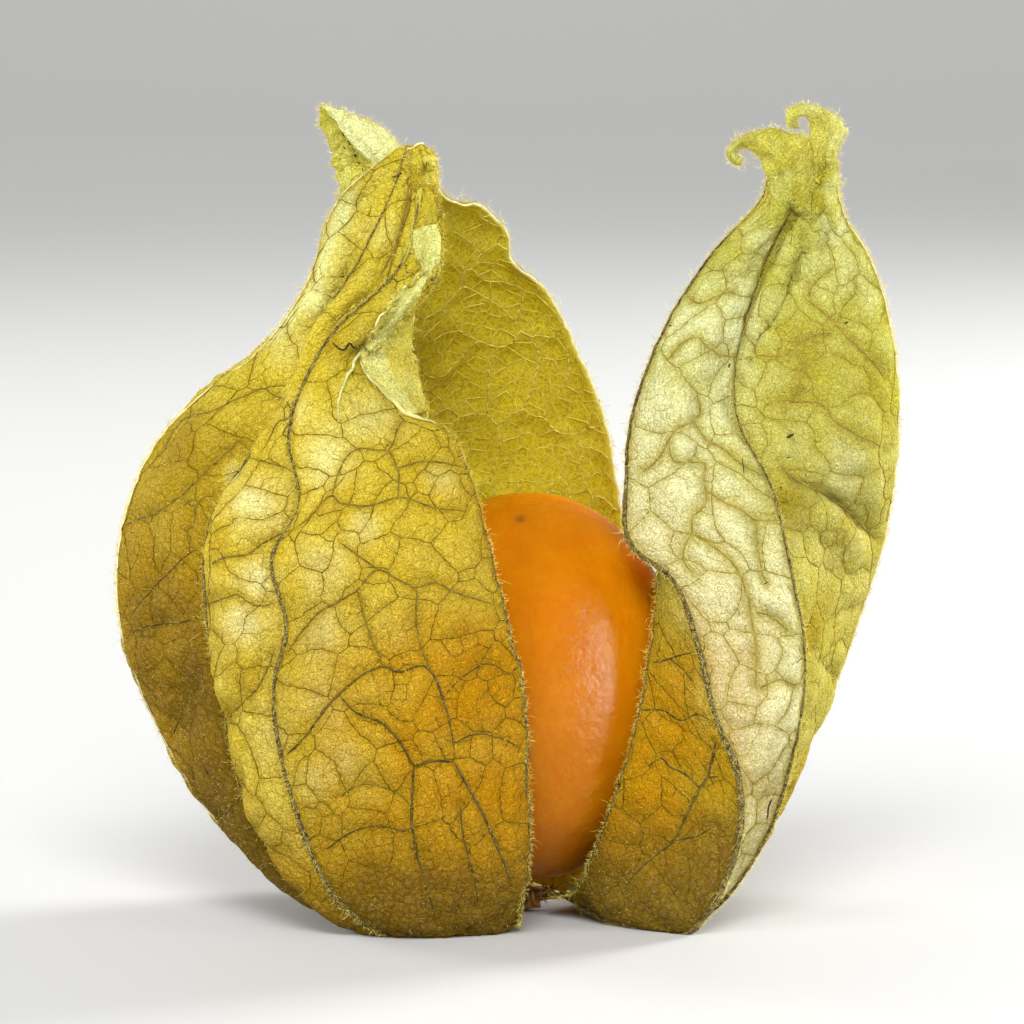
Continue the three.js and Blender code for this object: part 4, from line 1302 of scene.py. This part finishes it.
    def browning(self, net, own_tone, tints):
        """How browned and shaded each place is, and how bleached and lit: browner low down, with painted
        shade and painted highlights from the panel's tone and the tints.
        """
        cloud = 0.5 * ripple(net, 3.0, self.seed + 50)
        tint = sum(amount * bell(np.linalg.norm(net - place, axis=2), reach) * (1 + cloud)
                   for amount, reach, place in tints)
        low = np.clip((8.5 - net[..., 2]) / 8.5, 0, 1) ** 1.3
        tone = own_tone * np.clip((28 - net[..., 2]) / 12, 0, 1)
        return np.clip(1.2 * low + tone + 0.25 * cloud - tint, 0, 1), np.clip(tint - tone, 0, 1)

    def build_sheet(self):
        """The half's own sheet, with the paper's wall."""
        name = f"husk_{self.label}_sheet"
        mesh = sheet_mesh(name, self.panels, {"near_vein": self.near_vein, "vein_halo": self.halo,
                                              "berry_glow": self.glow, "browning": self.brown,
                                              "bleach_and_highlight": self.bleach_and_highlight})
        sheet = piece_from(mesh, name, [self.outside, INSIDE, PALE_AND_RIM_LIT_EDGE],
                           replaced=(f"husk_{self.label}",))
        give_wall(sheet, HUSK_THICKNESS)

    def build_veins(self):
        """Veins that stand out on the outside, and paler ones on the inside."""
        kinds = (("veins", self.vein), ("dark_veins", DARK_VEIN), ("middle_veins", self.fine_vein),
                 ("fine_veins", self.finest_vein), ("browned_veins", DEEP_TONED_VEIN),
                 ("inner_veins", INNER_VEIN))
        strands = {kind: [] for kind, _ in kinds}
        rng = np.random.default_rng(self.seed)
        for k in range(len(self.panels)):
            self.add_net_veins(strands, k, rng, main=True, size=0.034, steps=5)
            self.add_net_veins(strands, k, rng, main=False, size=0.02, steps=4)
        self.add_laid_veins(strands)
        for kind, material in kinds:
            self.build_kind(kind, strands[kind], material)

    def build_kind(self, kind, strands, material):
        """One piece of the half from a list of strands."""
        build_strands(f"husk_{self.label}_{kind}", strands, material)

    def add_net_veins(self, strands, k, rng, main, size, steps):
        """The veins along the main or the slight lines of panel k's net, outside and inside."""
        places, outs = self.net_lines(k, main, steps)
        if not len(places):
            return
        thick = size * rng.uniform(0.7, 1.25, len(places))
        radii = np.repeat(thick[:, None], places.shape[1], axis=1)
        radii[:, 0] = radii[:, -1] = 0
        browned = self.browned_edges(k, main)
        other = "middle_veins" if main and k not in self.hidden else "fine_veins"
        for chosen, kind in ((browned, "browned_veins"), (~browned, other)):
            if chosen.any():
                add_strands(strands[kind], (places + outs * 0.01)[chosen], radii[chosen], outs[chosen])
        seen = k in self.inside_seen
        open_to_view = places[:, 0, 2] < NECK
        if seen:
            open_to_view |= (places[:, 0, 0] > -2.8) & (places[:, 0, 2] < 35)
        if (main or seen) and open_to_view.any():
            step = 1 if seen else 2
            within = (places - outs * (HUSK_THICKNESS + 0.008))[open_to_view, ::step]
            add_strands(strands["inner_veins"], within, radii[open_to_view, ::step] * 1.1,
                        -outs[open_to_view, ::step])

    def add_laid_veins(self, strands):
        """The main veins that the plan lays out, and the side veins of the hidden panels."""
        tree = surface_tree(self.panels)
        for k, (size, places, outs) in enumerate(self.laid):
            line = np.array([tree.find_nearest(Vector(p))[0][:] for p in places])
            radii = tapered(len(line), size, (0.06, 0.12), [1, 0.95, 0.75])
            radii = radii * (1 + 0.2 * ripple(line, 0.35, self.seed))
            kind = "veins" if k < self.outer_count else "middle_veins"
            if self.is_browned(line):
                kind = "dark_veins"
            add_strands(strands[kind], [line], [radii], [outs], sides=6, flat=0.8)
            if line[:, 2].max() < NECK:
                add_strands(strands["inner_veins"], [line - outs * HUSK_THICKNESS], [radii * 0.7],
                            [outs], sides=6, flat=0.8)

    def build_ribs(self):
        """The ribs, and as a piece of their own the pale edges, which carry painted rim light."""
        ribs, edges = [], []
        last = len(self.panels)
        for k, size in enumerate(self.rib_sizes):
            path, out = rib_path(self.panels, k)
            radii = tapered(len(path), size, (0.01, 0.02), [1.1, 1.2, 1.0, 0.7, 0.35])
            radii = radii * (1 + 0.2 * ripple(path, 0.4, self.seed + k))
            shift = -HUSK_THICKNESS / 2 if k in (0, last) else 0.0
            target = edges if k in self.pale_edges else ribs
            add_strands(target, [path + out * shift], [radii], [out], sides=8, flat=0.85)
        for kind, parts, material in (("ribs", ribs, RIB), ("pale_edge", edges, PALE_AND_RIM_LIT_EDGE)):
            if parts:
                self.build_kind(kind, parts, material)

    def build_hairs(self):
        """Felt all over, and a fringe of short and a few long hairs along each rib and main vein."""
        short, long = [], []
        for k, panel in enumerate(self.panels):
            felt(short, panel, density=4.8, length=0.16, seed=self.seed + 100 + k)
        for k, size in enumerate(self.rib_sizes):
            path, out = rib_path(self.panels, k)
            density = 46 if k in self.front_ribs else 24
            fringe(long, path, out, size, density, length=0.17, seed=self.seed + 120 + k)
            fringe(long, path, out, size, density=5, length=0.42, seed=self.seed + 140 + k)
        for k, (size, places, outs) in enumerate(self.laid[:self.outer_count]):
            fringe(long, places, outs, size, density=6, length=0.12, seed=self.seed + 160 + k,
                   splay=0.6, scatter=0.05)
        self.build_kind("felt", short, HAIR)
        self.build_kind("fringe", long, HAIR)


def give_wall(sheet, thickness):
    """Gives a sheet its thickness in mm, with its second material inside and its third at the rim."""
    wall = sheet.modifiers.new("wall", "SOLIDIFY")
    wall.thickness = thickness * MM
    wall.offset = -1
    wall.material_offset = 1
    wall.material_offset_rim = 2


# The tones paint shade and light onto panels in view: the left half's outer panel is browner as painted
# shade, the right half's middle front facet is paler as painted light, and its inner front panel is
# browner as painted shade.
LEFT = Half("left", "husk_paper", left_panels, seed=1, folds=LEFT_FOLDS,
            inside_folds=LEFT_INSIDE_FOLDS, veins=LEFT_VEINS, tints=LEFT_TINTS,
            rib_sizes=[0.09, 0.13, 0.12, 0.07, 0.1, 0.1, 0.08], pale_edges=(3, 6),
            front_ribs=(0, 1, 2, 3), hidden=(3, 4), inside_seen=(5,),
            tones=(0.08, -0.08, 0.55, 0.4, 0.25, 0.1), outside=OUTSIDE_LEFT, vein=VEIN,
            fine_vein=FINE_VEIN, finest_vein=THREAD_VEIN)
RIGHT = Half("right", "husk_paper_pale", right_panels, seed=2, folds=RIGHT_FOLDS, inside_folds=[],
             veins=RIGHT_VEINS, tints=RIGHT_TINTS, rib_sizes=[0.1, 0.07, 0.09, 0.15, 0.09],
             pale_edges=(1,), front_ribs=(1, 2, 3, 4), hidden=(0,), inside_seen=(),
             tones=(0.2, 0.05, -0.8, 0.5), outside=OUTSIDE_RIGHT, vein=PALE_VEIN,
             fine_vein=PALE_FINE_VEIN, finest_vein=PALE_THREAD_VEIN)
for half in (LEFT, RIGHT):
    half.build_sheet()
    half.build_veins()
    half.build_ribs()
    half.build_hairs()

# ---------------------------------------------------------------- dry ends

# Each dry end is a row of outlines from right to left, given in the front view. Its foot starts just
# inside the neck and then lies over it. Past the neck the depths in y are given.
CURL_LOW = ([(15.1, 14.4), (15.15, 15.2), (15.2, 16.2), (15.3, 17.2), (15.2, 17.9), (14.95, 18.55),
             (14.5, 18.9), (13.9, 18.97), (13.4, 19.15), (12.9, 19.2), (12.3, 19.1), (11.7, 18.85),
             (11.2, 18.55), (10.85, 18.2), (10.7, 17.9), (10.85, 17.6), (11.15, 17.35),
             (11.4, 17.35), (11.58, 17.55), (11.5, 17.75)],
            [(13.9, 15.0), (13.9, 15.6), (13.9, 16.3), (13.8, 17.0), (13.6, 17.5), (13.3, 17.95),
             (13.0, 18.3), (12.7, 18.5), (12.4, 18.6), (12.1, 18.62), (11.8, 18.58), (11.5, 18.48),
             (11.2, 18.28), (11.02, 18.05), (10.98, 17.85), (11.08, 17.68), (11.22, 17.58),
             (11.35, 17.58), (11.46, 17.64), (11.5, 17.75)],
            [(12.95, 14.7), (12.9, 15.3), (12.85, 15.9), (12.8, 16.4), (12.75, 16.8), (12.65, 17.15),
             (12.5, 17.45), (12.35, 17.7), (12.15, 17.92), (11.95, 18.08), (11.75, 18.18),
             (11.55, 18.2), (11.38, 18.12), (11.27, 18.0), (11.22, 17.9), (11.24, 17.8),
             (11.3, 17.75), (11.37, 17.73), (11.43, 17.73), (11.5, 17.75)])
CURL_HIGH = ([(16.15, 13.8), (16.2, 14.8), (16.25, 15.8), (16.25, 16.7), (16.22, 17.4), (16.25, 17.9),
              (16.38, 18.3), (16.55, 18.7), (16.65, 19.1), (16.5, 19.5), (16.1, 19.85),
              (15.6, 20.15), (15.1, 20.35), (14.5, 20.35), (14.0, 20.25), (13.8, 19.95),
              (13.8, 19.6), (13.95, 19.3), (14.2, 19.15), (14.35, 19.25)],
             [(15.5, 14.6), (15.55, 15.3), (15.6, 16.1), (15.65, 16.9), (15.65, 17.5), (15.65, 18.0),
              (15.7, 18.4), (15.75, 18.8), (15.75, 19.15), (15.65, 19.45), (15.4, 19.75),
              (15.1, 20.0), (14.75, 20.12), (14.4, 20.1), (14.1, 19.98), (13.97, 19.78),
              (13.98, 19.55), (14.08, 19.38), (14.22, 19.27), (14.35, 19.25)],
             [(14.9, 14.1), (14.95, 15.0), (15.0, 16.0), (15.1, 16.9), (15.1, 17.5), (15.05, 18.0),
              (14.95, 18.4), (14.88, 18.75), (14.9, 19.05), (14.92, 19.3), (14.85, 19.6),
              (14.82, 19.82), (14.65, 19.9), (14.45, 19.88), (14.28, 19.8), (14.17, 19.66),
              (14.16, 19.52), (14.2, 19.4), (14.27, 19.32), (14.35, 19.25)])
FLAP = ([(-4.9, 15.8), (-5.2, 17.4), (-5.6, 18.3), (-6.7, 19.2), (-7.8, 19.8), (-8.8, 20.25),
         (-9.3, 20.4), (-9.6, 20.3)],
        [(-6.6, 14.6), (-6.6, 16.2), (-6.9, 17.3), (-7.8, 18.1), (-8.4, 18.9), (-8.9, 19.6),
         (-9.3, 20.1), (-9.6, 20.3)],
        [(-8.2, 13.4), (-8.5, 15.0), (-8.6, 16.1), (-8.75, 17.1), (-9.1, 18.2), (-9.45, 19.2),
         (-9.6, 19.7), (-9.6, 20.3)])
CRUMPLE = ([(-3.75, 15.6), (-3.6, 16.3), (-3.6, 16.9), (-3.7, 17.5), (-3.9, 18.0), (-4.2, 18.2)],
           [(-4.4, 15.9), (-4.35, 16.5), (-4.4, 17.1), (-4.5, 17.6), (-4.6, 18.1), (-4.75, 18.35)],
           [(-5.1, 16.0), (-5.15, 16.6), (-5.2, 17.1), (-5.25, 17.6), (-5.3, 18.0), (-5.3, 18.2)])
TORN_STRIP = ([(-6.8, 8.0), (-5.95, 9.15), (-5.15, 10.25), (-4.45, 11.3), (-4.0, 12.1), (-3.62, 12.8),
               (-3.58, 13.4), (-3.62, 13.95), (-3.8, 14.4)],
              [(-7.2, 8.1), (-6.4, 9.15), (-5.65, 10.25), (-4.9, 11.2), (-4.35, 12.0), (-4.1, 12.6),
               (-4.2, 13.2), (-4.28, 13.75), (-4.36, 14.3)],
              [(-7.6, 8.3), (-6.9, 9.15), (-6.15, 10.3), (-5.35, 11.15), (-4.75, 11.9), (-4.55, 12.4),
               (-4.85, 12.8), (-4.98, 13.4), (-4.94, 14.1)])
TORN_FOLD = ([(-4.2, 5.0), (-4.5, 6.1), (-4.8, 7.2), (-5.0, 8.35), (-4.9, 9.5), (-4.8, 10.6)],
             [(-4.7, 5.0), (-5.6, 6.1), (-6.2, 7.2), (-6.4, 8.2), (-5.9, 9.4), (-5.2, 10.6)],
             [(-5.2, 4.9), (-6.5, 6.1), (-7.5, 7.2), (-7.6, 8.1), (-6.6, 9.4), (-5.4, 10.5)])


def over_neck(tree, points, depths, lift):
    """Places in the front view that rise from the neck, lie over it and go on at the given depths."""
    foot_depth = 0.3
    places = in_view(points, depths)
    for i, point in enumerate(points):
        hit = seen_at(tree, point)
        if hit is not None:
            height = -foot_depth if i == 0 else lift
            places[i] = np.array(hit) + unit(EYE - np.array(hit)) * height
    return places


def dry_end(parts, label, material, outlines, depths, puffs, columns, seed, tones, folds=(),
            rough=0.05, neck=None, lift=0.2):
    """One dry end: thin panels between its outlines, with a ragged edge and its own hairs.

    Rough says how ragged the edge is, and a tone above 0 is a browner panel and below 0 a paler one.
    """
    lines = []
    for k, (points, depth) in enumerate(zip(outlines, depths)):
        line = over_neck(neck, points, depth, lift) if neck else in_view(points, depth)
        line = even_line(line, END_ROWS + 1)
        size = rough if k in (0, len(outlines) - 1) else 0.4 * rough
        wave = np.stack([ripple(line, 0.45, seed + 10 * k + axis) for axis in range(3)], axis=1)
        fade = np.clip((1 - np.linspace(0, 1, END_ROWS + 1)) * 6, 0.15, 1)[:, None]
        lines.append(line + size * wave * fade)
    panels = []
    for k in range(len(lines) - 1):
        panel = Panel(lines[k], lines[k + 1], puffs[k], columns)
        rumple = 0.14 * ripple(panel.net, 1.1, seed + 3) + 0.07 * ripple(panel.net, 0.45, seed + 4)
        panel.push(rumple * panel.edge_fade)
        panels.append(panel)
    fold_panels(panels, folds)
    brown = [np.clip(tone + 0.25 * ripple(panel.net, 1.2, seed + 5), 0, 1)
             for tone, panel in zip(tones, panels)]
    pale = [np.clip(-tone + 0.2 * ripple(panel.net, 0.9, seed + 6), 0, 1)
            for tone, panel in zip(tones, panels)]
    mesh = sheet_mesh(label, panels, {"browning": brown, "bleach_and_highlight": pale})
    bm = bmesh.new()
    bm.from_mesh(mesh)
    bmesh.ops.remove_doubles(bm, verts=bm.verts, dist=2e-6)
    bmesh.ops.dissolve_degenerate(bm, edges=bm.edges, dist=1e-7)
    bm.to_mesh(mesh)
    bm.free()
    give_wall(piece_from(mesh, label, [material, INSIDE, PALE_AND_RIM_LIT_EDGE]), END_THICKNESS)
    for k, panel in enumerate(panels):
        felt(parts, panel, density=14.0, length=0.14, seed=seed + 30 + k)
    for k in (0, len(lines) - 1):
        path, out = rib_path(panels, k)
        fringe(parts, path, out, size=0.03, density=44, length=0.24, seed=seed + 50 + k)
    return panels


def build_right_ends():
    """The two curled tips of the right half."""
    hairs = []
    neck = surface_tree(right_panels)
    dry_end(hairs, "husk_right_low_curl", OUTSIDE_RIGHT, CURL_LOW,
            ([-2.2, -2.1, -2.0], [-2.5, -2.6, -2.2], [-2.1, -2.0, -2.0]),
            ([0.05, 0.15, 0.15, 0.1, 0.02], [0.05, 0.15, 0.15, 0.1, 0.02]), 9, 300, (0.12, 0.0),
            [(-0.2, 0.2, [(14.9, 17.6), (14.4, 17.9), (13.6, 18.5), (12.6, 18.8)]),
             (0.2, 0.25, [(14.4, 16.8), (13.9, 17.4), (13.2, 18.1), (12.4, 18.5)]),
             (-0.2, 0.2, [(13.6, 16.2), (13.1, 17.2), (12.6, 18.0)])],
            neck=neck, lift=0.16)
    dry_end(hairs, "husk_right_high_curl", OUTSIDE_RIGHT, CURL_HIGH,
            ([-1.7, -1.7, -1.6], [-2.5, -2.4, -2.0], [-2.3, -2.0, -1.8]),
            ([0.05, 0.2, 0.15, 0.1, 0.02], [0.05, 0.2, 0.15, 0.1, 0.02]), 8, 310, (-0.1, 0.15),
            [(-0.2, 0.2, [(15.3, 16.0), (15.3, 17.2), (15.4, 18.4), (15.5, 19.2)]),
             (0.2, 0.2, [(15.9, 16.0), (15.8, 17.4), (16.1, 18.6), (16.3, 19.2)])],
            neck=neck, lift=0.32)
    build_strands("husk_right_tip_hairs", hairs, HAIR)


def build_left_ends():
    """The flap, the crumpled end and the torn lip of the left half. Returns the flap's panels."""
    hairs = []
    neck = surface_tree(left_panels[:3])
    # The flap's right facet is paler as painted light, and its left facet is browner as painted shade.
    flap = dry_end(hairs, "husk_left_flap", OUTSIDE_RIGHT, FLAP,
                   ([0.2, 0.2, -0.3], [-0.9, -1.3, -0.5], [0.4, 0.3, -0.2]),
                   ([0.1, 0.2, 0.1, 0.02], [0.1, -0.15, -0.1, 0.02]), 16, 320, (-1.0, 0.12),
                   [(-0.22, 0.2, [(-8.5, 19.0), (-8.1, 18.2), (-7.6, 17.4), (-7.2, 16.8)]),
                    (0.2, 0.16, [(-8.9, 19.5), (-8.8, 18.4), (-8.5, 17.2), (-8.2, 15.8)]),
                    (-0.16, 0.16, [(-8.9, 18.0), (-8.5, 16.6), (-8.0, 15.2)]),
                    (-0.16, 0.18, [(-8.3, 19.4), (-7.2, 18.4), (-6.3, 17.2)]),
                    (0.15, 0.14, [(-7.4, 18.9), (-6.5, 18.0), (-5.9, 17.0)])],
                   rough=0.16)
    dry_end(hairs, "husk_left_crumpled_end", OUTSIDE_LEFT, CRUMPLE,
            ([-2.6, -2.7, -2.5], [-2.9, -3.0, -2.8], [-2.7, -2.8, -2.6]),
            ([0.1, 0.25, 0.15], [0.1, 0.25, 0.15]), 10, 330, (-0.1, 0.15),
            [(-0.2, 0.16, [(-3.9, 16.4), (-4.2, 17.0), (-4.1, 17.8)]),
             (0.15, 0.2, [(-4.7, 16.6), (-4.6, 17.4), (-4.9, 18.1)])],
            rough=0.09, neck=neck)
    dry_end(hairs, "husk_left_torn_strip", TORN_LIP, TORN_STRIP,
            ([-4.2, -3.6, -3.2, -2.8], [-4.6, -3.9, -3.4, -3.0], [-4.4, -3.6, -3.2, -2.8]),
            ([0.02, 0.1, 0.15, 0.08], [0.02, -0.05, 0.1, 0.08]), 9, 340, (-0.3, 0.05),
            [(0.16, 0.14, [(-6.5, 8.8), (-5.5, 10.2), (-4.5, 11.6), (-3.9, 12.8)]),
             (-0.16, 0.12, [(-6.9, 8.9), (-6.2, 9.9), (-5.0, 11.4), (-4.4, 12.6), (-4.5, 13.6)]),
             (0.14, 0.12, [(-7.0, 9.0), (-6.3, 10.1), (-5.3, 11.3), (-4.7, 12.4)]),
             (-0.14, 0.12, [(-4.0, 13.6), (-4.3, 13.0), (-4.0, 12.2)])],
            rough=0.1, neck=neck)
    dry_end(hairs, "husk_left_torn_fold", TORN_LIP, TORN_FOLD,
            ([-3.9, -3.4, -3.2], [-4.3, -3.7, -3.4], [-4.9, -4.0, -3.7]),
            ([0.02, 0.1, 0.02], [0.02, 0.15, 0.02]), 9, 350, (0.5, -0.2), rough=0.06)
    build_strands("husk_left_tip_hairs", hairs, HAIR)
    return flap


build_right_ends()
flap_panels = build_left_ends()


def build_threads():
    """A pale thread that hangs from the tear, and the torn edge's pale lip."""
    parts = []
    count = 24
    places, outs = laid_on(surface_tree(left_panels),
                           [(-7.65, 8.1), (-8.0, 7.4), (-8.5, 5.9), (-8.7, 4.3)], count)
    lift = 0.12 + 0.25 * np.sin(np.pi * np.linspace(0, 1, count))[:, None]
    radii = tapered(count, 0.1, (0.02, 0.3), [1, 0.7, 0.5, 0.3])
    add_strands(parts, [places + outs * lift], [radii], [outs], sides=6, flat=0.5)
    path, out = rib_path(left_panels, 0)
    bared = (path[:, 2] > 25.0) & (path[:, 2] < 28.4)
    radii = tapered(bared.sum(), 0.1, (0.2, 0.2))
    add_strands(parts, [path[bared] + out[bared] * 0.05], [radii], [out[bared]], sides=8, flat=0.35)
    build_strands("husk_pale_threads", parts, THREAD)


# Dark specks and scars on the halves and the flap, each a thickness and places as above.
SPECKS = [
    (left_panels, [
        (0.05, [(-9.0, 8.5), (-8.8, 8.3), (-8.5, 8.1), (-8.3, 8.2), (-8.1, 8.5), (-8.0, 8.3),
                (-7.8, 8.2)]),
        (0.07, [(-6.0, 16.7), (-5.7, 16.8), (-5.5, 17.0)]),
        (0.04, [(-6.3, 3.3), (-6.2, 3.35)])]),
    (flap_panels, [
        (0.05, [(-8.5, 19.0), (-8.4, 18.85), (-8.35, 18.8)]),
        (0.05, [(-8.2, 18.6), (-8.1, 18.45), (-8.05, 18.35)]),
        (0.04, [(-8.0, 18.2), (-7.9, 18.1)]),
        (0.05, [(-7.9, 17.9), (-7.8, 17.75)]),
        (0.04, [(-7.7, 17.5), (-7.62, 17.4)]),
        (0.04, [(-7.5, 17.2), (-7.42, 17.05)]),
        (0.03, [(-8.4, 18.3), (-8.35, 18.2)])]),
    (right_panels, [
        (0.045, [(16.6, 9.4), (16.8, 9.5)]),
        (0.045, [(10.9, 7.4), (10.8, 7.2)]),
        (0.03, [(7.8, 9.3), (8.0, 9.3)]),
        (0.06, [(13.7, 3.7), (14.1, 3.9)]),
        (0.03, [(11.5, 2.7), (11.55, 2.3), (11.6, 1.9)]),
        (0.03, [(13.7, 2.7), (13.9, 2.75)]),
        (0.04, [(13.4, 1.2), (13.5, 1.25)]),
        (0.025, [(14.2, -7.6), (14.35, -7.4), (14.5, -7.3)]),
        (0.03, [(12.6, -3.6), (12.8, -3.5)]),
        (0.05, [(13.0, -14.3), (12.8, -14.8), (12.7, -15.4)])]),
]


def build_specks():
    """The dark specks, each a short flat strand on the surface."""
    parts = []
    count = 14
    for panels, specks in SPECKS:
        tree = surface_tree(panels)
        for size, points in specks:
            laid = laid_on(tree, points, count)
            if laid is not None:
                places, outs = laid
                radii = tapered(count, size, (0.25, 0.25))
                add_strands(parts, [places + outs * 0.03], [radii], [outs], sides=6, flat=0.7)
    build_strands("husk_dark_specks", parts, DARK_SPECK)


build_threads()
build_specks()

# ---------------------------------------------------------------- berry

# Places in the plan: the small scar, the fuller shoulder, and the spot by the right rib where painted
# light lifts the rib's shadow off the berry.
SCAR = np.array([0.6, -3.3, 20.3])
SHOULDER = np.array([7.1, -3.6, 17.0])
PAINTED_LIGHT_SPOT = np.array([6.9, -2.8, 18.1])


def build_berry():
    """A slightly egg-shaped berry with soft lumps, and a small sunken scar near the top."""
    bm = bmesh.new()
    bmesh.ops.create_uvsphere(bm, u_segments=144, v_segments=96, radius=1.0)
    mesh = bpy.data.meshes.new("berry_skin")
    bm.to_mesh(mesh)
    bm.free()
    spot = np.empty(len(mesh.vertices) * 3)
    mesh.vertices.foreach_get("co", spot)
    spot = spot.reshape(-1, 3)
    way = unit(spot)
    places = spot * BERRY_SIZE / 2 + BERRY_MIDDLE
    lumps = 0.05 * ripple(places, 4.0, 3) + 0.012 * ripple(places, 1.2, 4)
    from_scar = np.linalg.norm(places - SCAR, axis=1)
    shoulder = np.linalg.norm(places - SHOULDER, axis=1)
    lumps = lumps + 0.6 * bell(shoulder, 2.8)
    dent = -0.05 * bell(from_scar, 0.7) - 0.08 * bell(from_scar, 0.2)
    places = places + way * (lumps - 0.05 + dent)[:, None]
    mesh.vertices.foreach_set("co", world(places).ravel())
    scar = bell(from_scar, 0.2) * 0.9 + 0.12 * bell(from_scar, 0.5)
    # Painted light on the right side and by the right rib, where the husk shades the berry.
    painted_light = np.clip((places[:, 0] - BERRY_MIDDLE[0] - 3.8) / 3.6, 0, 1) * 0.38
    by_husk = np.linalg.norm(places - PAINTED_LIGHT_SPOT, axis=1)
    painted_light = np.maximum(painted_light, 0.9 * bell(by_husk, 1.9))
    # Painted shade, growing towards the bottom.
    painted_low_shade = np.clip((6.5 - places[:, 2]) / 6.5, 0, 1) * 0.8
    for label, values in (("scar", scar), ("painted_low_shade", painted_low_shade), ("painted_light", painted_light)):
        add_mark(mesh, label, values)
    mesh.shade_smooth()
    piece_from(mesh, "berry_skin", [BERRY], replaced=("berry",))


def build_stalk():
    """The dry stub of the stalk with its ring of torn brown fibres under the berry."""
    rng = np.random.default_rng(5)
    low, high = (np.array(corner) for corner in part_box("stem_stub"))
    middle = ((low + high) / 2 - SHIFT) / MM
    radius = (high[0] - low[0]) / MM / 2
    height = (high[2] - low[2]) / MM
    parts = []
    rings, fibres = 14, 46
    levels = np.linspace(-0.5, 0.5, rings) * height
    core = middle + np.stack([0.05 * np.sin(levels * 3), 0.05 * np.cos(levels * 4), levels], axis=1)
    add_strands(parts, [core], [tapered(rings, radius * 0.95, (0.02, 0.02), [0.9, 0.8, 1.0])],
                [np.tile([0.0, -1.0, 0.0], (rings, 1))], sides=18)
    for k in range(fibres):
        turn = 2 * math.pi * k / fibres + rng.normal(0, 0.08)
        way = np.array([math.cos(turn), math.sin(turn), 0])
        reach = rng.uniform(0.6, 1.5)
        start = middle + way * radius * 0.7 + np.array([0, 0, height * 0.35])
        line = even_line([start, start + way * reach * 0.5 + [0, 0, rng.uniform(-0.3, 0.15)],
                          start + way * reach + [0, 0, rng.uniform(-0.5, 0.35)]], 8)
        add_strands(parts, [line], [tapered(8, rng.uniform(0.05, 0.11), (0.1, 0.5))],
                    [np.tile([0.0, 0.0, 1.0], (8, 1))], sides=5, flat=0.6)
    build_strands("dry_stalk", parts, DRY_STALK, replaced=("stem_stub",))


build_berry()
build_stalk()

# ---------------------------------------------------------------- studio

def area_light(name, place, size, power, aim=(0.0, 0.0, 0.018), glossy=True, diffuse=True):
    """A soft light in metres and watts, turned towards its aim."""
    lamp = bpy.data.lights.new(name, "AREA")
    lamp.shape = "RECTANGLE"
    lamp.size, lamp.size_y = size
    lamp.energy = power
    holder = bpy.data.objects.new(name, lamp)
    bpy.context.scene.collection.objects.link(holder)
    holder.visible_glossy = glossy
    holder.visible_diffuse = diffuse
    holder.location = place
    holder.rotation_euler = (Vector(aim) - Vector(place)).to_track_quat("-Z", "Y").to_euler()


def build_floor():
    """A pale floor that curves up behind the object."""
    flat, bend, wall, half_width = 1.1, 0.6, 0.9, 2.5
    bm = bmesh.new()
    bmesh.ops.create_grid(bm, x_segments=1, y_segments=60, size=0.5)
    for vert in bm.verts:
        reach = (vert.co.y + 0.5) * (2 * flat + bend * math.pi / 2 + wall) - flat
        angle = min(max(0.0, reach - flat) / bend, math.pi / 2)
        y = min(reach, flat) + bend * math.sin(angle)
        z = bend * (1 - math.cos(angle)) + max(0.0, reach - flat - bend * math.pi / 2)
        vert.co = Vector((vert.co.x * 2 * half_width, y, z))
    mesh = bpy.data.meshes.new("floor")
    bm.to_mesh(mesh)
    bm.free()
    mesh.shade_smooth()
    material, _, shader = new_material("pale_floor")
    shader.inputs["Base Color"].default_value = (0.46, 0.46, 0.455, 1)
    shader.inputs["Roughness"].default_value = 0.55
    mesh.materials.append(material)
    floor = bpy.data.objects.new("floor", mesh)
    bpy.context.scene.collection.objects.link(floor)


def light_world():
    """A weak even white light from all round."""
    world_light = bpy.data.worlds.new("studio")
    world_light.use_nodes = True
    background = world_light.node_tree.nodes["Background"]
    background.inputs["Color"].default_value = (1, 1, 1, 1)
    background.inputs["Strength"].default_value = 0.15
    bpy.context.scene.world = world_light


def add_camera():
    """The camera for the front view, with a long lens."""
    camera_data = bpy.data.cameras.new("camera")
    camera_data.sensor_width = SENSOR_WIDTH
    camera_data.lens = SENSOR_WIDTH * VIEW_DISTANCE / FRAME_WIDTH
    camera_data.clip_start = 0.01
    camera = bpy.data.objects.new("camera", camera_data)
    bpy.context.scene.collection.objects.link(camera)
    camera.location = world(EYE)
    camera.rotation_euler = (math.pi / 2 - VIEW_HEIGHT, 0, 0)
    bpy.context.scene.camera = camera


build_floor()
area_light("berry_gloss", (0.052, -0.031, 0.0195), (0.014, 0.038), 0.085, aim=(0.0, 0.0, 0.0195),
           diffuse=False)
area_light("right_fill", (0.27, -0.14, 0.08), (0.10, 0.10), 0.3, glossy=False)
area_light("back_right", (0.42, 0.30, 0.15), (0.16, 0.16), 7.0, glossy=False)
area_light("back_left", (-0.40, 0.26, 0.15), (0.16, 0.16), 2.0)
area_light("front", (0.02, -0.60, 0.48), (0.36, 0.36), 9.0, glossy=False)
area_light("front_left", (-0.50, -0.42, 0.22), (0.30, 0.30), 3.4, glossy=False)
area_light("backdrop", (0.0, 0.9, 0.9), (1.6, 0.5), 10.0, aim=(0.0, 1.3, 0.0), glossy=False)

light_world()
add_camera()
bpy.context.scene.view_settings.view_transform = "Standard"
